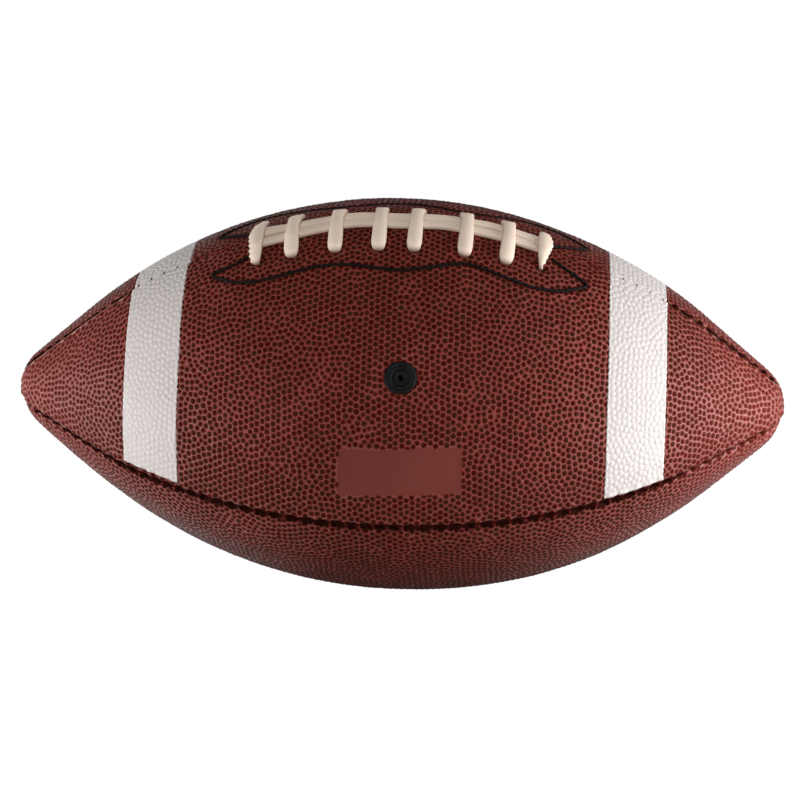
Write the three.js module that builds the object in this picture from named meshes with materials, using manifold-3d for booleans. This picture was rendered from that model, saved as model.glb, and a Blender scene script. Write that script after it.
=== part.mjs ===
// Laced football of junior size: four cover panels sewn together over cloth linings and an air bladder.
// Millimetres. X runs along the ball, +Z leaves through the lacing and -Y through the front seam.
// Places on the ball are given by the distance along its outline from the belly, by the angle around
// the X axis from the front seam, and by the depth below the cover's outer surface.
import * as THREE from "three";
import { mergeVertices } from "three/addons/utils/BufferGeometryUtils.js";
import Module from "manifold-3d";

const wasm = await Module();
wasm.setup();

// Outline of the ball
const BALL_LENGTH = 280;
const BELLY_RADIUS = 72.8;
const NOSE_RADIUS = 18;
const END_CONE_ANGLE = 40;
const SEAM_RISE = 1.8;
const NOSE_HOLE_RADIUS = 0.9;

// Cover panels and their seams
const COVER_THICKNESS = 2;
const SEAM_GAP = 0.3;
const ROLL_WIDTH = 2.45;
const ROLL_FULL_ROOM = 4;
const GROOVE_DEPTH = 1.8;
const FLANGE_THICKNESS = 1.2;
const SEAM_THREAD_RADIUS = 0.3;
const SEAM_THREAD_DEPTH = 0.8;
const SEAM_THREAD_END = 6;

// Layers behind the cover
const BOND_CLEARANCE = 0.3;
const LAYER_CLEARANCE = 0.6;
const LINING_THICKNESS = 1.2;
const LINING_EDGE_CLEARANCE = 0.4;
const LINING_END_MARGIN = 12;
const BLADDER_THICKNESS = 0.9;
const DENT_SIDE_MARGIN = 3;
const DENT_SIDE_RISE = 16;
const DENT_END_MARGIN = 8;
const DENT_END_RISE = 36;

// Lacing
const LACE_WIDTH = 5;
const LACE_THICKNESS = 1.8;
const LACE_EDGE_BEVEL = 0.5;
const LACE_REST_CLEARANCE = 0.3;
const LACE_SELF_CLEARANCE = 0.55;
const LACE_HOLE_CLEARANCE = 0.6;
const LACE_HOLE_OFFSET = 11.3;
const LACE_BEND_RADIUS = 1.8;
const LACE_SLANT_START = 6.2;
const LACE_LEAN = 0.6;
const LACE_STATIONS = [-49.7, -37.3, -21.8, -6.4, 6, 24.1, 38.9, 51.1];
const LACE_SLIT_MARGIN = 6;
const FLAP_WIDTH = 36;
const FLAP_THICKNESS = 1;
const FLAP_MARGIN = 7;

// Reinforcement behind the lace holes, and the stitching that holds it
const REINFORCEMENT_THICKNESS = 1.2;
const REINFORCEMENT_HEM = 2;
const REINFORCEMENT_SEAM_MARGIN = 2.8;
const STITCH_RADIUS = 0.4;
const STITCH_OUTLINE = [
  [54.5, 6],
  [61, 9],
  [67.3, 11.8],
  [62, 15.6],
  [56, 18.4],
  [46, 19.7],
  [34, 18],
  [22.5, 16.7],
  [11, 18.9],
  [0, 20.5],
];

// Stripes on the two lace panels
const STRIPE_START = 77;
const STRIPE_WIDTH = 23.6;
const STRIPE_THICKNESS = 0.35;
const STRIPE_EDGE_MARGIN = 2.6;

// Valve
const VALVE_ALONG = 3.4;
const VALVE_ANGLE = 42.4;
const VALVE_RADIUS = 5.7;
const VALVE_HOLE_CLEARANCE = 0.3;
const VALVE_BEVEL = 0.5;
const VALVE_STEM_RADIUS = 4;
const VALVE_LENGTH = 15;
const VALVE_FLANGE_RADIUS = 11;
const VALVE_FLANGE_THICKNESS = 1.2;
const INSERT_HEAD_RADIUS = 2.8;
const INSERT_HEAD_THICKNESS = 2.4;
const INSERT_STEM_RADIUS = 2;
const INSERT_END_LENGTH = 1;
const INSERT_CLEARANCE = 0.15;
const NEEDLE_RADIUS = 0.9;
const NEEDLE_DEPTH = 10;

// How finely the rounded forms are divided
const PANEL_STEPS = 8;
const ARC_STEPS = 7;
const NOSE_STEPS = 3;
const BLADDER_STEPS = 6;
const STRIPE_STEPS = 3;
const REINFORCEMENT_COLUMNS = 3;
const FLAP_STEPS = 8;
const FLAP_COLUMNS = 6;
const LACE_STRAND_STEPS = 8;
const LACE_TURN_STEPS = 8;
const LACE_BEND_STEPS = 3;
const LACE_GAP_STEPS = 4;
const THREAD_SIDES = 6;
const VALVE_SIDES = 20;
const LEAST_STEP = 0.3;

// Colours and roughness
const LEATHER = { color: 0x6b2d28, roughness: 0.5 };
const STRIPE_FILM = { color: 0xded6d2, roughness: 0.55 };
const LACE_COAT = { color: 0xd8cbb8, roughness: 0.6 };
const THREAD = { color: 0x141314, roughness: 0.8 };
const CLOTH = { color: 0xb8ab94, roughness: 0.9 };
const BLADDER_RUBBER = { color: 0x2a2726, roughness: 0.7 };
const VALVE_RUBBER = { color: 0x141314, roughness: 0.5 };
const INSERT_RUBBER = { color: 0x141314, roughness: 0.6 };

const QUARTER = Math.PI / 2;
const FRONT_SEAM = 0;
const LACE_SEAM = QUARTER;
const REAR_SEAM = 2 * QUARTER;
const BOTTOM_SEAM = 3 * QUARTER;

// Depths of the layers below the cover's outer surface
const LINING_DEPTH = COVER_THICKNESS + BOND_CLEARANCE;
const LINING_BACK = LINING_DEPTH + LINING_THICKNESS;
const BLADDER_DEPTH = LINING_BACK + LAYER_CLEARANCE;
const REINFORCEMENT_DEPTH = LINING_BACK + LAYER_CLEARANCE;
const REINFORCEMENT_BACK = REINFORCEMENT_DEPTH + REINFORCEMENT_THICKNESS;
const LACE_INNER_DEPTH = REINFORCEMENT_BACK + LACE_SELF_CLEARANCE + LACE_THICKNESS / 2;
const FLAP_DEPTH = LACE_INNER_DEPTH + LACE_THICKNESS / 2 + LACE_SELF_CLEARANCE;
const FLAP_BACK = FLAP_DEPTH + FLAP_THICKNESS;
const DENT_DEPTH = FLAP_BACK + LAYER_CLEARANCE;

// The outline is a long arc over the belly, a straight cone, then a round nose.
const HALF_LENGTH = BALL_LENGTH / 2;
const NOSE_CENTRE = HALF_LENGTH - NOSE_RADIUS;
const NOSE_DROP = BELLY_RADIUS - NOSE_RADIUS;
const CONELESS_DROP = (NOSE_CENTRE ** 2 - NOSE_DROP ** 2) / (2 * NOSE_DROP);
const CONELESS_ANGLE = Math.atan2(NOSE_CENTRE, CONELESS_DROP);
const CONE = Math.min(THREE.MathUtils.degToRad(END_CONE_ANGLE), CONELESS_ANGLE);
const ARC_DROP = (NOSE_CENTRE * Math.sin(CONE) + NOSE_RADIUS - BELLY_RADIUS) / (1 - Math.cos(CONE));
const ARC_RADIUS = BELLY_RADIUS + ARC_DROP;
const ARC_LENGTH = ARC_RADIUS * CONE;
const CONE_START = ARC_RADIUS * Math.sin(CONE);
const CONE_LENGTH = (NOSE_CENTRE + NOSE_RADIUS * Math.sin(CONE) - CONE_START) / Math.cos(CONE);
const NOSE_START = ARC_LENGTH + CONE_LENGTH;
const POLE = NOSE_START + NOSE_RADIUS * (QUARTER - CONE);
const PANEL_END = POLE - NOSE_RADIUS * Math.asin(NOSE_HOLE_RADIUS / NOSE_RADIUS);

// A point of the outline, with the angle by which its outward direction leans towards the end.
function outline(along) {
  const side = along < 0 ? -1 : 1;
  const distance = Math.abs(along);
  if (distance <= ARC_LENGTH) {
    const lean = distance / ARC_RADIUS;
    const radius = ARC_RADIUS * Math.cos(lean) - ARC_DROP;
    return { x: side * ARC_RADIUS * Math.sin(lean), radius, lean: side * lean };
  }
  if (distance <= NOSE_START) {
    const onCone = distance - ARC_LENGTH;
    const radius = ARC_RADIUS * Math.cos(CONE) - ARC_DROP - onCone * Math.sin(CONE);
    return { x: side * (CONE_START + onCone * Math.cos(CONE)), radius, lean: side * CONE };
  }
  const lean = Math.min(CONE + (distance - NOSE_START) / NOSE_RADIUS, QUARTER);
  const radius = NOSE_RADIUS * Math.cos(lean);
  return { x: side * (NOSE_CENTRE + NOSE_RADIUS * Math.sin(lean)), radius, lean: side * lean };
}

// A point at a depth below the cover; the section bulges a little towards its four seams.
function place(along, angle, depth) {
  const { x, radius, lean } = outline(along);
  const bulged = radius * (1 + (SEAM_RISE / BELLY_RADIUS) * Math.cos(4 * angle));
  const reach = bulged - depth * Math.cos(lean);
  return new THREE.Vector3(x - depth * Math.sin(lean), -reach * Math.cos(angle), reach * Math.sin(angle));
}

// Unit directions at a place: along the ball, around it and outward.
function directions(along, angle) {
  const { lean } = outline(along);
  const outward = new THREE.Vector3(
    Math.sin(lean),
    -Math.cos(lean) * Math.cos(angle),
    Math.cos(lean) * Math.sin(angle),
  );
  const around = new THREE.Vector3(0, Math.sin(angle), Math.cos(angle));
  const forward = new THREE.Vector3().crossVectors(around, outward);
  return { forward, around, outward };
}

// The angle of a place that lies a distance across from the lace seam, positive to the rear.
function acrossAngle(along, across) {
  return LACE_SEAM + across / outline(along).radius;
}

// Places along the ball where its sections are drawn, out to a limit on both sides.
function sectionsTo(limit) {
  const half = [];
  for (let step = 1; step <= ARC_STEPS; step += 1) {
    half.push((ARC_LENGTH * step) / ARC_STEPS);
  }
  for (let step = 0; step < NOSE_STEPS; step += 1) {
    half.push(NOSE_START + ((PANEL_END - NOSE_START) * step) / NOSE_STEPS);
  }
  const kept = half.filter((along, row) => {
    const apart = row === 0 || along > half[row - 1] + LEAST_STEP;
    return apart && along < limit - LEAST_STEP;
  });
  kept.push(limit);
  return [...kept.map((along) => -along).reverse(), 0, ...kept];
}

function geometryFrom(points, index) {
  const geometry = new THREE.BufferGeometry();
  const positions = points.flatMap((point) => point.toArray());
  geometry.setAttribute("position", new THREE.Float32BufferAttribute(positions, 3));
  geometry.setIndex(index);
  geometry.computeVertexNormals();
  return geometry;
}

// A closed wall between two matching grids of points, one on each face.
function wallGeometry(outer, inner) {
  const rows = outer.length;
  const columns = outer[0].length;
  const front = (row, column) => row * columns + column;
  const back = (row, column) => (rows + row) * columns + column;
  const index = [];
  const quad = (a, b, c, d) => index.push(a, b, c, a, c, d);
  for (let row = 0; row + 1 < rows; row += 1) {
    for (let column = 0; column + 1 < columns; column += 1) {
      quad(front(row, column), front(row + 1, column), front(row + 1, column + 1), front(row, column + 1));
      quad(back(row, column), back(row, column + 1), back(row + 1, column + 1), back(row + 1, column));
    }
    const last = columns - 1;
    quad(front(row, 0), back(row, 0), back(row + 1, 0), front(row + 1, 0));
    quad(front(row, last), front(row + 1, last), back(row + 1, last), back(row, last));
  }
  for (let column = 0; column + 1 < columns; column += 1) {
    const last = rows - 1;
    quad(front(0, column), front(0, column + 1), back(0, column + 1), back(0, column));
    quad(front(last, column), back(last, column), back(last, column + 1), front(last, column + 1));
  }
  return geometryFrom([...outer.flat(), ...inner.flat()], index);
}

// A closed skin through rings of points, with a pole at each end.
function skinGeometry(rings, firstPole, lastPole) {
  const columns = rings[0].length;
  const points = [...rings.flat(), firstPole, lastPole];
  const first = points.length - 2;
  const last = points.length - 1;
  const end = (rings.length - 1) * columns;
  const index = [];
  for (let column = 0; column < columns; column += 1) {
    const next = (column + 1) % columns;
    for (let row = 0; row + 1 < rings.length; row += 1) {
      const low = row * columns;
      const high = low + columns;
      index.push(low + column, high + column, high + next, low + column, high + next, low + next);
    }
    index.push(first, column, next, last, end + next, end + column);
  }
  return geometryFrom(points, index);
}

// A strip with closed ends through matching sections that follow each other.
function stripGeometry(sections) {
  const sides = sections[0].length;
  const end = (sections.length - 1) * sides;
  const index = [];
  for (let row = 0; row + 1 < sections.length; row += 1) {
    const low = row * sides;
    const high = low + sides;
    for (let side = 0; side < sides; side += 1) {
      const next = (side + 1) % sides;
      index.push(low + side, low + next, high + next, low + side, high + next, high + side);
    }
  }
  for (let side = 1; side + 1 < sides; side += 1) {
    index.push(0, side + 1, side, end, end + side, end + side + 1);
  }
  return geometryFrom(sections.flat(), index);
}

function threadGeometry(points, radius, steps) {
  const corners = [];
  for (let side = 0; side < THREAD_SIDES; side += 1) {
    const turn = (2 * Math.PI * side) / THREAD_SIDES;
    corners.push(new THREE.Vector2(radius * Math.cos(turn), radius * Math.sin(turn)));
  }
  return new THREE.ExtrudeGeometry(new THREE.Shape(corners), {
    steps,
    bevelEnabled: false,
    extrudePath: new THREE.CatmullRomCurve3(points),
  });
}

function solidFrom(geometry) {
  const bare = geometry.clone();
  bare.deleteAttribute("normal");
  bare.deleteAttribute("uv");
  const merged = mergeVertices(bare);
  const mesh = new wasm.Mesh({
    numProp: 3,
    vertProperties: new Float32Array(merged.attributes.position.array),
    triVerts: new Uint32Array(merged.index.array),
  });
  return new wasm.Manifold(mesh);
}

function cutGeometry(geometry, tools) {
  let solid = solidFrom(geometry);
  for (const tool of tools) {
    solid = solid.subtract(solidFrom(tool));
  }
  const mesh = solid.getMesh();
  const cut = new THREE.BufferGeometry();
  cut.setAttribute("position", new THREE.Float32BufferAttribute(mesh.vertProperties, 3));
  cut.setIndex(Array.from(mesh.triVerts));
  cut.computeVertexNormals();
  return cut;
}

// The rolled edge of a panel: offsets from the seam and depths, on the outer and on the inner face.
function panelEdge(shrink) {
  const groove = GROOVE_DEPTH * shrink;
  const flange = COVER_THICKNESS + (LINING_BACK - COVER_THICKNESS) * shrink;
  const half = Math.SQRT1_2;
  return [
    { outer: [0, flange], inner: [FLANGE_THICKNESS, flange] },
    { outer: [0, groove], inner: [FLANGE_THICKNESS, COVER_THICKNESS] },
    {
      outer: [ROLL_WIDTH * (1 - half), groove * (1 - half)],
      inner: [FLANGE_THICKNESS + ROLL_WIDTH * (1 - half), COVER_THICKNESS],
    },
    { outer: [ROLL_WIDTH, 0], inner: [FLANGE_THICKNESS + ROLL_WIDTH, COVER_THICKNESS] },
  ];
}

// One section of a panel, from its first seam to the next.
function panelSection(along, seam) {
  const { radius } = outline(along);
  const start = SEAM_GAP / 2 / radius;
  const span = QUARTER - 2 * start;
  const room = (span * radius) / PANEL_STEPS;
  const fitting = (room - LEAST_STEP / PANEL_STEPS) / (FLANGE_THICKNESS + ROLL_WIDTH);
  const shrink = Math.min(1, fitting, room / ROLL_FULL_ROOM);
  const edge = panelEdge(shrink);
  const point = (offset, depth) => place(along, seam + start + offset, depth);
  const turned = (node, face) => (node[face][0] * shrink) / radius;
  const rolled = (face) => edge.map((node) => point(turned(node, face), node[face][1]));
  const mirrored = (face) => edge.map((node) => point(span - turned(node, face), node[face][1]));
  const middle = (depth) => {
    const points = [];
    for (let step = 1; step < PANEL_STEPS; step += 1) {
      points.push(point((span * step) / PANEL_STEPS, depth));
    }
    return points;
  };
  return {
    outer: [...rolled("outer"), ...middle(0), ...mirrored("outer").reverse()],
    inner: [...rolled("inner"), ...middle(COVER_THICKNESS), ...mirrored("inner").reverse()],
  };
}

function panelGeometry(seam) {
  const sections = sectionsTo(PANEL_END).map((along) => panelSection(along, seam));
  return wallGeometry(
    sections.map((section) => section.outer),
    sections.map((section) => section.inner),
  );
}

// One row of points across a panel at a depth, with a margin left free at both seams.
function panelRow(along, seam, margin, depth) {
  const { radius } = outline(along);
  const start = SEAM_GAP / 2 / radius;
  const span = QUARTER - 2 * start;
  const points = [place(along, seam + margin / radius, depth)];
  for (let step = 1; step < PANEL_STEPS; step += 1) {
    points.push(place(along, seam + start + (span * step) / PANEL_STEPS, depth));
  }
  points.push(place(along, seam + QUARTER - margin / radius, depth));
  return points;
}

function liningGeometry(seam) {
  const margin = SEAM_GAP / 2 + FLANGE_THICKNESS + LINING_EDGE_CLEARANCE;
  const rows = sectionsTo(NOSE_START - LINING_END_MARGIN);
  return wallGeometry(
    rows.map((along) => panelRow(along, seam, margin, LINING_DEPTH)),
    rows.map((along) => panelRow(along, seam, margin, LINING_BACK)),
  );
}

function stripeGeometry(seam, side) {
  const rows = [];
  for (let step = 0; step <= STRIPE_STEPS; step += 1) {
    rows.push(side * (STRIPE_START + (STRIPE_WIDTH * step) / STRIPE_STEPS));
  }
  rows.sort((a, b) => a - b);
  const back = -BOND_CLEARANCE;
  const face = back - STRIPE_THICKNESS;
  return wallGeometry(
    rows.map((along) => panelRow(along, seam, STRIPE_EDGE_MARGIN, face)),
    rows.map((along) => panelRow(along, seam, STRIPE_EDGE_MARGIN, back)),
  );
}

function seamThreadGeometry(seam, from, to) {
  const spacing = ARC_LENGTH / ARC_STEPS;
  const steps = Math.ceil((to - from) / spacing);
  const points = [];
  for (let step = 0; step <= steps; step += 1) {
    points.push(place(from + ((to - from) * step) / steps, seam, SEAM_THREAD_DEPTH));
  }
  return threadGeometry(points, SEAM_THREAD_RADIUS, steps);
}

// Distance of the reinforcement's stitching from the lace seam, at a place along the ball.
function stitchReach(along) {
  const far = STITCH_OUTLINE.slice(2);
  const distance = Math.abs(along);
  for (let node = 0; node + 1 < far.length; node += 1) {
    const [from, reach] = far[node];
    const [to, nextReach] = far[node + 1];
    if (distance <= from && distance >= to) {
      return THREE.MathUtils.mapLinear(distance, from, to, reach, nextReach);
    }
  }
  return far[0][1];
}

function stitchGeometry(side) {
  const left = STITCH_OUTLINE.map(([along, across]) => [-along, across]);
  const right = STITCH_OUTLINE.slice(0, -1).reverse();
  const height = STITCH_RADIUS + BOND_CLEARANCE;
  const points = [...left, ...right].map(([along, across]) =>
    place(along, acrossAngle(along, side * across), -height),
  );
  return threadGeometry(points, STITCH_RADIUS, 2 * points.length);
}

// A sheet beside or under the lace seam, between two distances across at each place along.
function sheetGeometry(rows, reach, columns, depth, back) {
  const grid = (level) =>
    rows.map((along) => {
      const [low, high] = reach(along);
      const points = [];
      for (let column = 0; column <= columns; column += 1) {
        const across = low + ((high - low) * column) / columns;
        points.push(place(along, acrossAngle(along, across), level));
      }
      return points;
    });
  return wallGeometry(grid(depth), grid(back));
}

function reinforcementGeometry(side) {
  const tip = STITCH_OUTLINE[2][0] + REINFORCEMENT_HEM;
  const places = [...STITCH_OUTLINE.slice(3).map(([along]) => along), tip];
  const bothSides = places.flatMap((along) => (along === 0 ? [along] : [-along, along]));
  const rows = bothSides.sort((a, b) => a - b);
  const reach = (along) => {
    const far = side * (stitchReach(along) + REINFORCEMENT_HEM);
    const near = side * REINFORCEMENT_SEAM_MARGIN;
    return [Math.min(near, far), Math.max(near, far)];
  };
  return sheetGeometry(rows, reach, REINFORCEMENT_COLUMNS, REINFORCEMENT_DEPTH, REINFORCEMENT_BACK);
}

const FIRST_STATION = LACE_STATIONS[0];
const LAST_STATION = LACE_STATIONS[LACE_STATIONS.length - 1];
const FLAP_START = FIRST_STATION - FLAP_MARGIN;
const FLAP_END = LAST_STATION + FLAP_MARGIN;

function flapGeometry() {
  const rows = [];
  for (let step = 0; step <= FLAP_STEPS; step += 1) {
    rows.push(FLAP_START + ((FLAP_END - FLAP_START) * step) / FLAP_STEPS);
  }
  return sheetGeometry(rows, () => [-FLAP_WIDTH / 2, FLAP_WIDTH / 2], FLAP_COLUMNS, FLAP_DEPTH, FLAP_BACK);
}

// The bladder's own depth: it is pressed in under the flap and rises again around it.
function bladderDepth(along, angle) {
  const across = Math.abs(angle - LACE_SEAM) * outline(along).radius;
  const beyond = Math.max(FLAP_START - along, along - FLAP_END, 0);
  const lengthwise = 1 - THREE.MathUtils.smoothstep(beyond, DENT_END_MARGIN, DENT_END_MARGIN + DENT_END_RISE);
  const aside = across - FLAP_WIDTH / 2;
  const sideways = 1 - THREE.MathUtils.smoothstep(aside, DENT_SIDE_MARGIN, DENT_SIDE_MARGIN + DENT_SIDE_RISE);
  return BLADDER_DEPTH + (DENT_DEPTH - BLADDER_DEPTH) * lengthwise * sideways;
}

function bladderSkin(thickness) {
  const dent = (FLAP_WIDTH / 2 + DENT_SIDE_MARGIN) / BELLY_RADIUS;
  const rise = DENT_SIDE_RISE / 2 / BELLY_RADIUS;
  const turns = [-dent - rise, -dent, -dent / 2, 0, dent / 2, dent, dent + rise];
  const angles = turns.map((turn) => LACE_SEAM + turn);
  const count = 4 * PANEL_STEPS;
  const spacing = (2 * Math.PI) / count;
  for (let step = 0; step < count; step += 1) {
    const angle = spacing * step;
    if (Math.abs(angle - LACE_SEAM) > dent + rise + spacing / 4) {
      angles.push(angle);
    }
  }
  angles.sort((a, b) => a - b);
  const half = [];
  for (let step = 1; step <= BLADDER_STEPS; step += 1) {
    half.push((NOSE_START * step) / BLADDER_STEPS);
  }
  half.push((NOSE_START + POLE) / 2);
  const rows = [...half.map((along) => -along).reverse(), 0, ...half];
  const depth = (along, angle) => bladderDepth(along, angle) + thickness;
  return skinGeometry(
    rows.map((along) => angles.map((angle) => place(along, angle, depth(along, angle)))),
    place(-POLE, 0, depth(-POLE, 0)),
    place(POLE, 0, depth(POLE, 0)),
  );
}

// Heights of the lace's middle: on the cover, over its own strands, and behind the reinforcement.
const LACE_LOW = LACE_REST_CLEARANCE + LACE_THICKNESS / 2;
const LACE_HIGH = LACE_LOW + LACE_THICKNESS + LACE_SELF_CLEARANCE;
const LACE_INNER = -LACE_INNER_DEPTH;
const STRAND_ACROSS = LACE_WIDTH / 2 + LACE_SELF_CLEARANCE / 2;
const DIVE_ACROSS = STRAND_ACROSS + LACE_SELF_CLEARANCE;

// A quarter of a round bend, as steps sideways and upward.
const BEND = [];
for (let step = 0; step <= LACE_BEND_STEPS; step += 1) {
  const turn = (QUARTER * step) / LACE_BEND_STEPS;
  BEND.push([LACE_BEND_RADIUS * Math.sin(turn), LACE_BEND_RADIUS * (1 - Math.cos(turn))]);
}
const BEND_BACK = [...BEND].reverse();

// Places across and heights of the lace, from behind the cover through a hole to the crest.
function laceRise() {
  const start = LACE_HOLE_OFFSET - LACE_BEND_RADIUS;
  return [
    ...BEND.map(([aside, up]) => [start + aside, LACE_INNER + up]),
    ...BEND_BACK.map(([aside, up]) => [start + aside, LACE_LOW - up]),
    [2 * STRAND_ACROSS, LACE_HIGH],
  ];
}

// The lace's route as places along and across the seam, heights, and the way its width points there.
function laceRoute() {
  const route = [];
  const add = (along, across, height, width) => route.push({ along, across, height, width });
  const alongBall = new THREE.Vector3(1, 0, 0);
  const toRear = new THREE.Vector3(0, 1, 0);
  const toFront = new THREE.Vector3(0, -1, 0);
  const halfTwist = new THREE.Vector3(1, -1, 0);
  const strandStart = FIRST_STATION - LACE_WIDTH / 4;
  const turn = LAST_STATION - LACE_WIDTH / 4 - STRAND_ACROSS;
  for (let step = 0; step < LACE_STRAND_STEPS; step += 1) {
    const along = THREE.MathUtils.lerp(strandStart, turn, step / LACE_STRAND_STEPS);
    add(along, -STRAND_ACROSS, LACE_LOW, toRear);
  }
  for (let step = 0; step <= LACE_TURN_STEPS; step += 1) {
    const swing = (Math.PI * step) / LACE_TURN_STEPS - QUARTER;
    const width = new THREE.Vector3(-Math.cos(swing), -Math.sin(swing), 0);
    add(turn + STRAND_ACROSS * Math.cos(swing), STRAND_ACROSS * Math.sin(swing), LACE_LOW, width);
  }
  const dive = FIRST_STATION;
  const bend = LACE_BEND_RADIUS;
  for (let step = 1; step < LACE_STRAND_STEPS; step += 1) {
    const along = THREE.MathUtils.lerp(turn, dive + 2 * bend, step / LACE_STRAND_STEPS);
    add(along, STRAND_ACROSS, LACE_LOW, toFront);
  }
  for (const [aside, up] of BEND) {
    add(dive + bend - aside, DIVE_ACROSS, LACE_LOW - up, toFront);
  }
  add(dive, DIVE_ACROSS, LACE_INNER / 2, halfTwist);
  for (const [aside, up] of BEND_BACK) {
    add(dive, DIVE_ACROSS - bend + aside, LACE_INNER + up, alongBall);
  }
  const hole = LACE_HOLE_OFFSET;
  add(dive + LACE_LEAN, -hole + 2 * bend, LACE_INNER, alongBall);
  const rise = laceRise();
  LACE_STATIONS.forEach((station, order) => {
    for (const [across, height] of rise) {
      add(station + (LACE_LEAN * across) / hole, -across, height, alongBall);
    }
    add(station, 0, LACE_HIGH + LACE_REST_CLEARANCE / 2, alongBall);
    for (const [across, height] of [...rise].reverse()) {
      add(station - (LACE_LEAN * across) / hole, across, height, alongBall);
    }
    const next = LACE_STATIONS[order + 1] ?? station + 2 * LACE_WIDTH;
    const middle = (station + next) / 2;
    add(middle, LACE_SLANT_START, LACE_INNER, alongBall);
    add(middle, 0, LACE_INNER, alongBall);
    if (order + 1 < LACE_STATIONS.length) {
      add(middle, -LACE_SLANT_START, LACE_INNER, alongBall);
    }
  });
  return route;
}

// Flat sections of the lace, with bevelled edges, along its route.
function laceSections() {
  const route = laceRoute();
  const points = route.map(({ along, across, height }) => place(along, acrossAngle(along, across), -height));
  const half = LACE_WIDTH / 2;
  const flat = half - LACE_EDGE_BEVEL;
  const thick = LACE_THICKNESS / 2;
  const corners = [
    [half, 0],
    [flat, thick],
    [-flat, thick],
    [-half, 0],
    [-flat, -thick],
    [flat, -thick],
  ];
  return route.map(({ along, across, width }, row) => {
    const before = points[Math.max(row - 1, 0)];
    const after = points[Math.min(row + 1, points.length - 1)];
    const tangent = after.clone().sub(before).normalize();
    const local = directions(along, acrossAngle(along, across));
    const wide = new THREE.Vector3();
    wide.addScaledVector(local.forward, width.x).addScaledVector(local.around, width.y);
    wide.addScaledVector(tangent, -wide.dot(tangent)).normalize();
    const raised = new THREE.Vector3().crossVectors(tangent, wide);
    return corners.map(([side, up]) =>
      points[row].clone().addScaledVector(wide, side).addScaledVector(raised, up),
    );
  });
}

// The least distance between points of the lace that lie far apart along its length.
function leastSelfGap(sections) {
  const rings = [];
  const shares = Array.from({ length: LACE_GAP_STEPS }, (_, part) => part / LACE_GAP_STEPS);
  let travelled = 0;
  for (let row = 0; row + 1 < sections.length; row += 1) {
    const sides = sections[row].length;
    const length = sections[row][0].distanceTo(sections[row + 1][0]);
    for (const part of shares) {
      const ring = sections[row].map((point, side) => point.clone().lerp(sections[row + 1][side], part));
      const between = ring.flatMap((point, side) =>
        shares.map((share) => point.clone().lerp(ring[(side + 1) % sides], share)),
      );
      const centre = ring[0].clone().lerp(ring[sides / 2], 0.5);
      rings.push({ points: between, centre, travelled });
      travelled += length / LACE_GAP_STEPS;
    }
  }
  const apart = 3 * LACE_WIDTH;
  const near = 2 * LACE_WIDTH;
  let least = Infinity;
  rings.forEach((ring, first) => {
    for (const other of rings.slice(first + 1)) {
      if (other.travelled - ring.travelled < apart || other.centre.distanceTo(ring.centre) > near) {
        continue;
      }
      for (const point of ring.points) {
        for (const facing of other.points) {
          least = Math.min(least, point.distanceTo(facing));
        }
      }
    }
  });
  return { least, length: travelled };
}

// The holes through which the lace passes on one side of the seam.
function laceHoles(side) {
  const wide = LACE_WIDTH + 2 * LACE_HOLE_CLEARANCE;
  const thick = LACE_THICKNESS + 2 * LACE_HOLE_CLEARANCE;
  const deep = 2 * FLAP_DEPTH;
  return LACE_STATIONS.map((station) => {
    const along = station - side * LACE_LEAN;
    const angle = acrossAngle(along, side * LACE_HOLE_OFFSET);
    const { forward, around, outward } = directions(along, angle);
    const matrix = new THREE.Matrix4().makeBasis(forward, around, outward);
    matrix.setPosition(place(along, angle, 0));
    return new THREE.BoxGeometry(wide, thick, deep).applyMatrix4(matrix);
  });
}

// The hole by which the lengthwise strand goes in under the first crossing.
function strandHole() {
  const angle = acrossAngle(FIRST_STATION, DIVE_ACROSS);
  const { outward } = directions(FIRST_STATION, angle);
  const radius = LACE_WIDTH / 2 + LACE_HOLE_CLEARANCE;
  const hole = new THREE.CylinderGeometry(radius, radius, 2 * FLAP_DEPTH, VALVE_SIDES);
  const turn = new THREE.Quaternion().setFromUnitVectors(new THREE.Vector3(0, 1, 0), outward);
  hole.applyQuaternion(turn);
  const centre = place(FIRST_STATION, angle, 0);
  return hole.translate(centre.x, centre.y, centre.z);
}

const VALVE_AROUND = THREE.MathUtils.degToRad(VALVE_ANGLE);
const valveSeat = place(VALVE_ALONG, VALVE_AROUND, 0);
const valveOutward = directions(VALVE_ALONG, VALVE_AROUND).outward;
const valveTurn = new THREE.Quaternion().setFromUnitVectors(new THREE.Vector3(0, 1, 0), valveOutward);

function valveHole(clearance) {
  const radius = VALVE_RADIUS + clearance;
  const hole = new THREE.CylinderGeometry(radius, radius, 4 * VALVE_LENGTH, VALVE_SIDES);
  return hole.applyQuaternion(valveTurn).translate(valveSeat.x, valveSeat.y, valveSeat.z);
}

function latheGeometry(profile) {
  const points = profile.map(([radius, height]) => new THREE.Vector2(radius, height));
  return new THREE.LatheGeometry(points, VALVE_SIDES);
}

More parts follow.
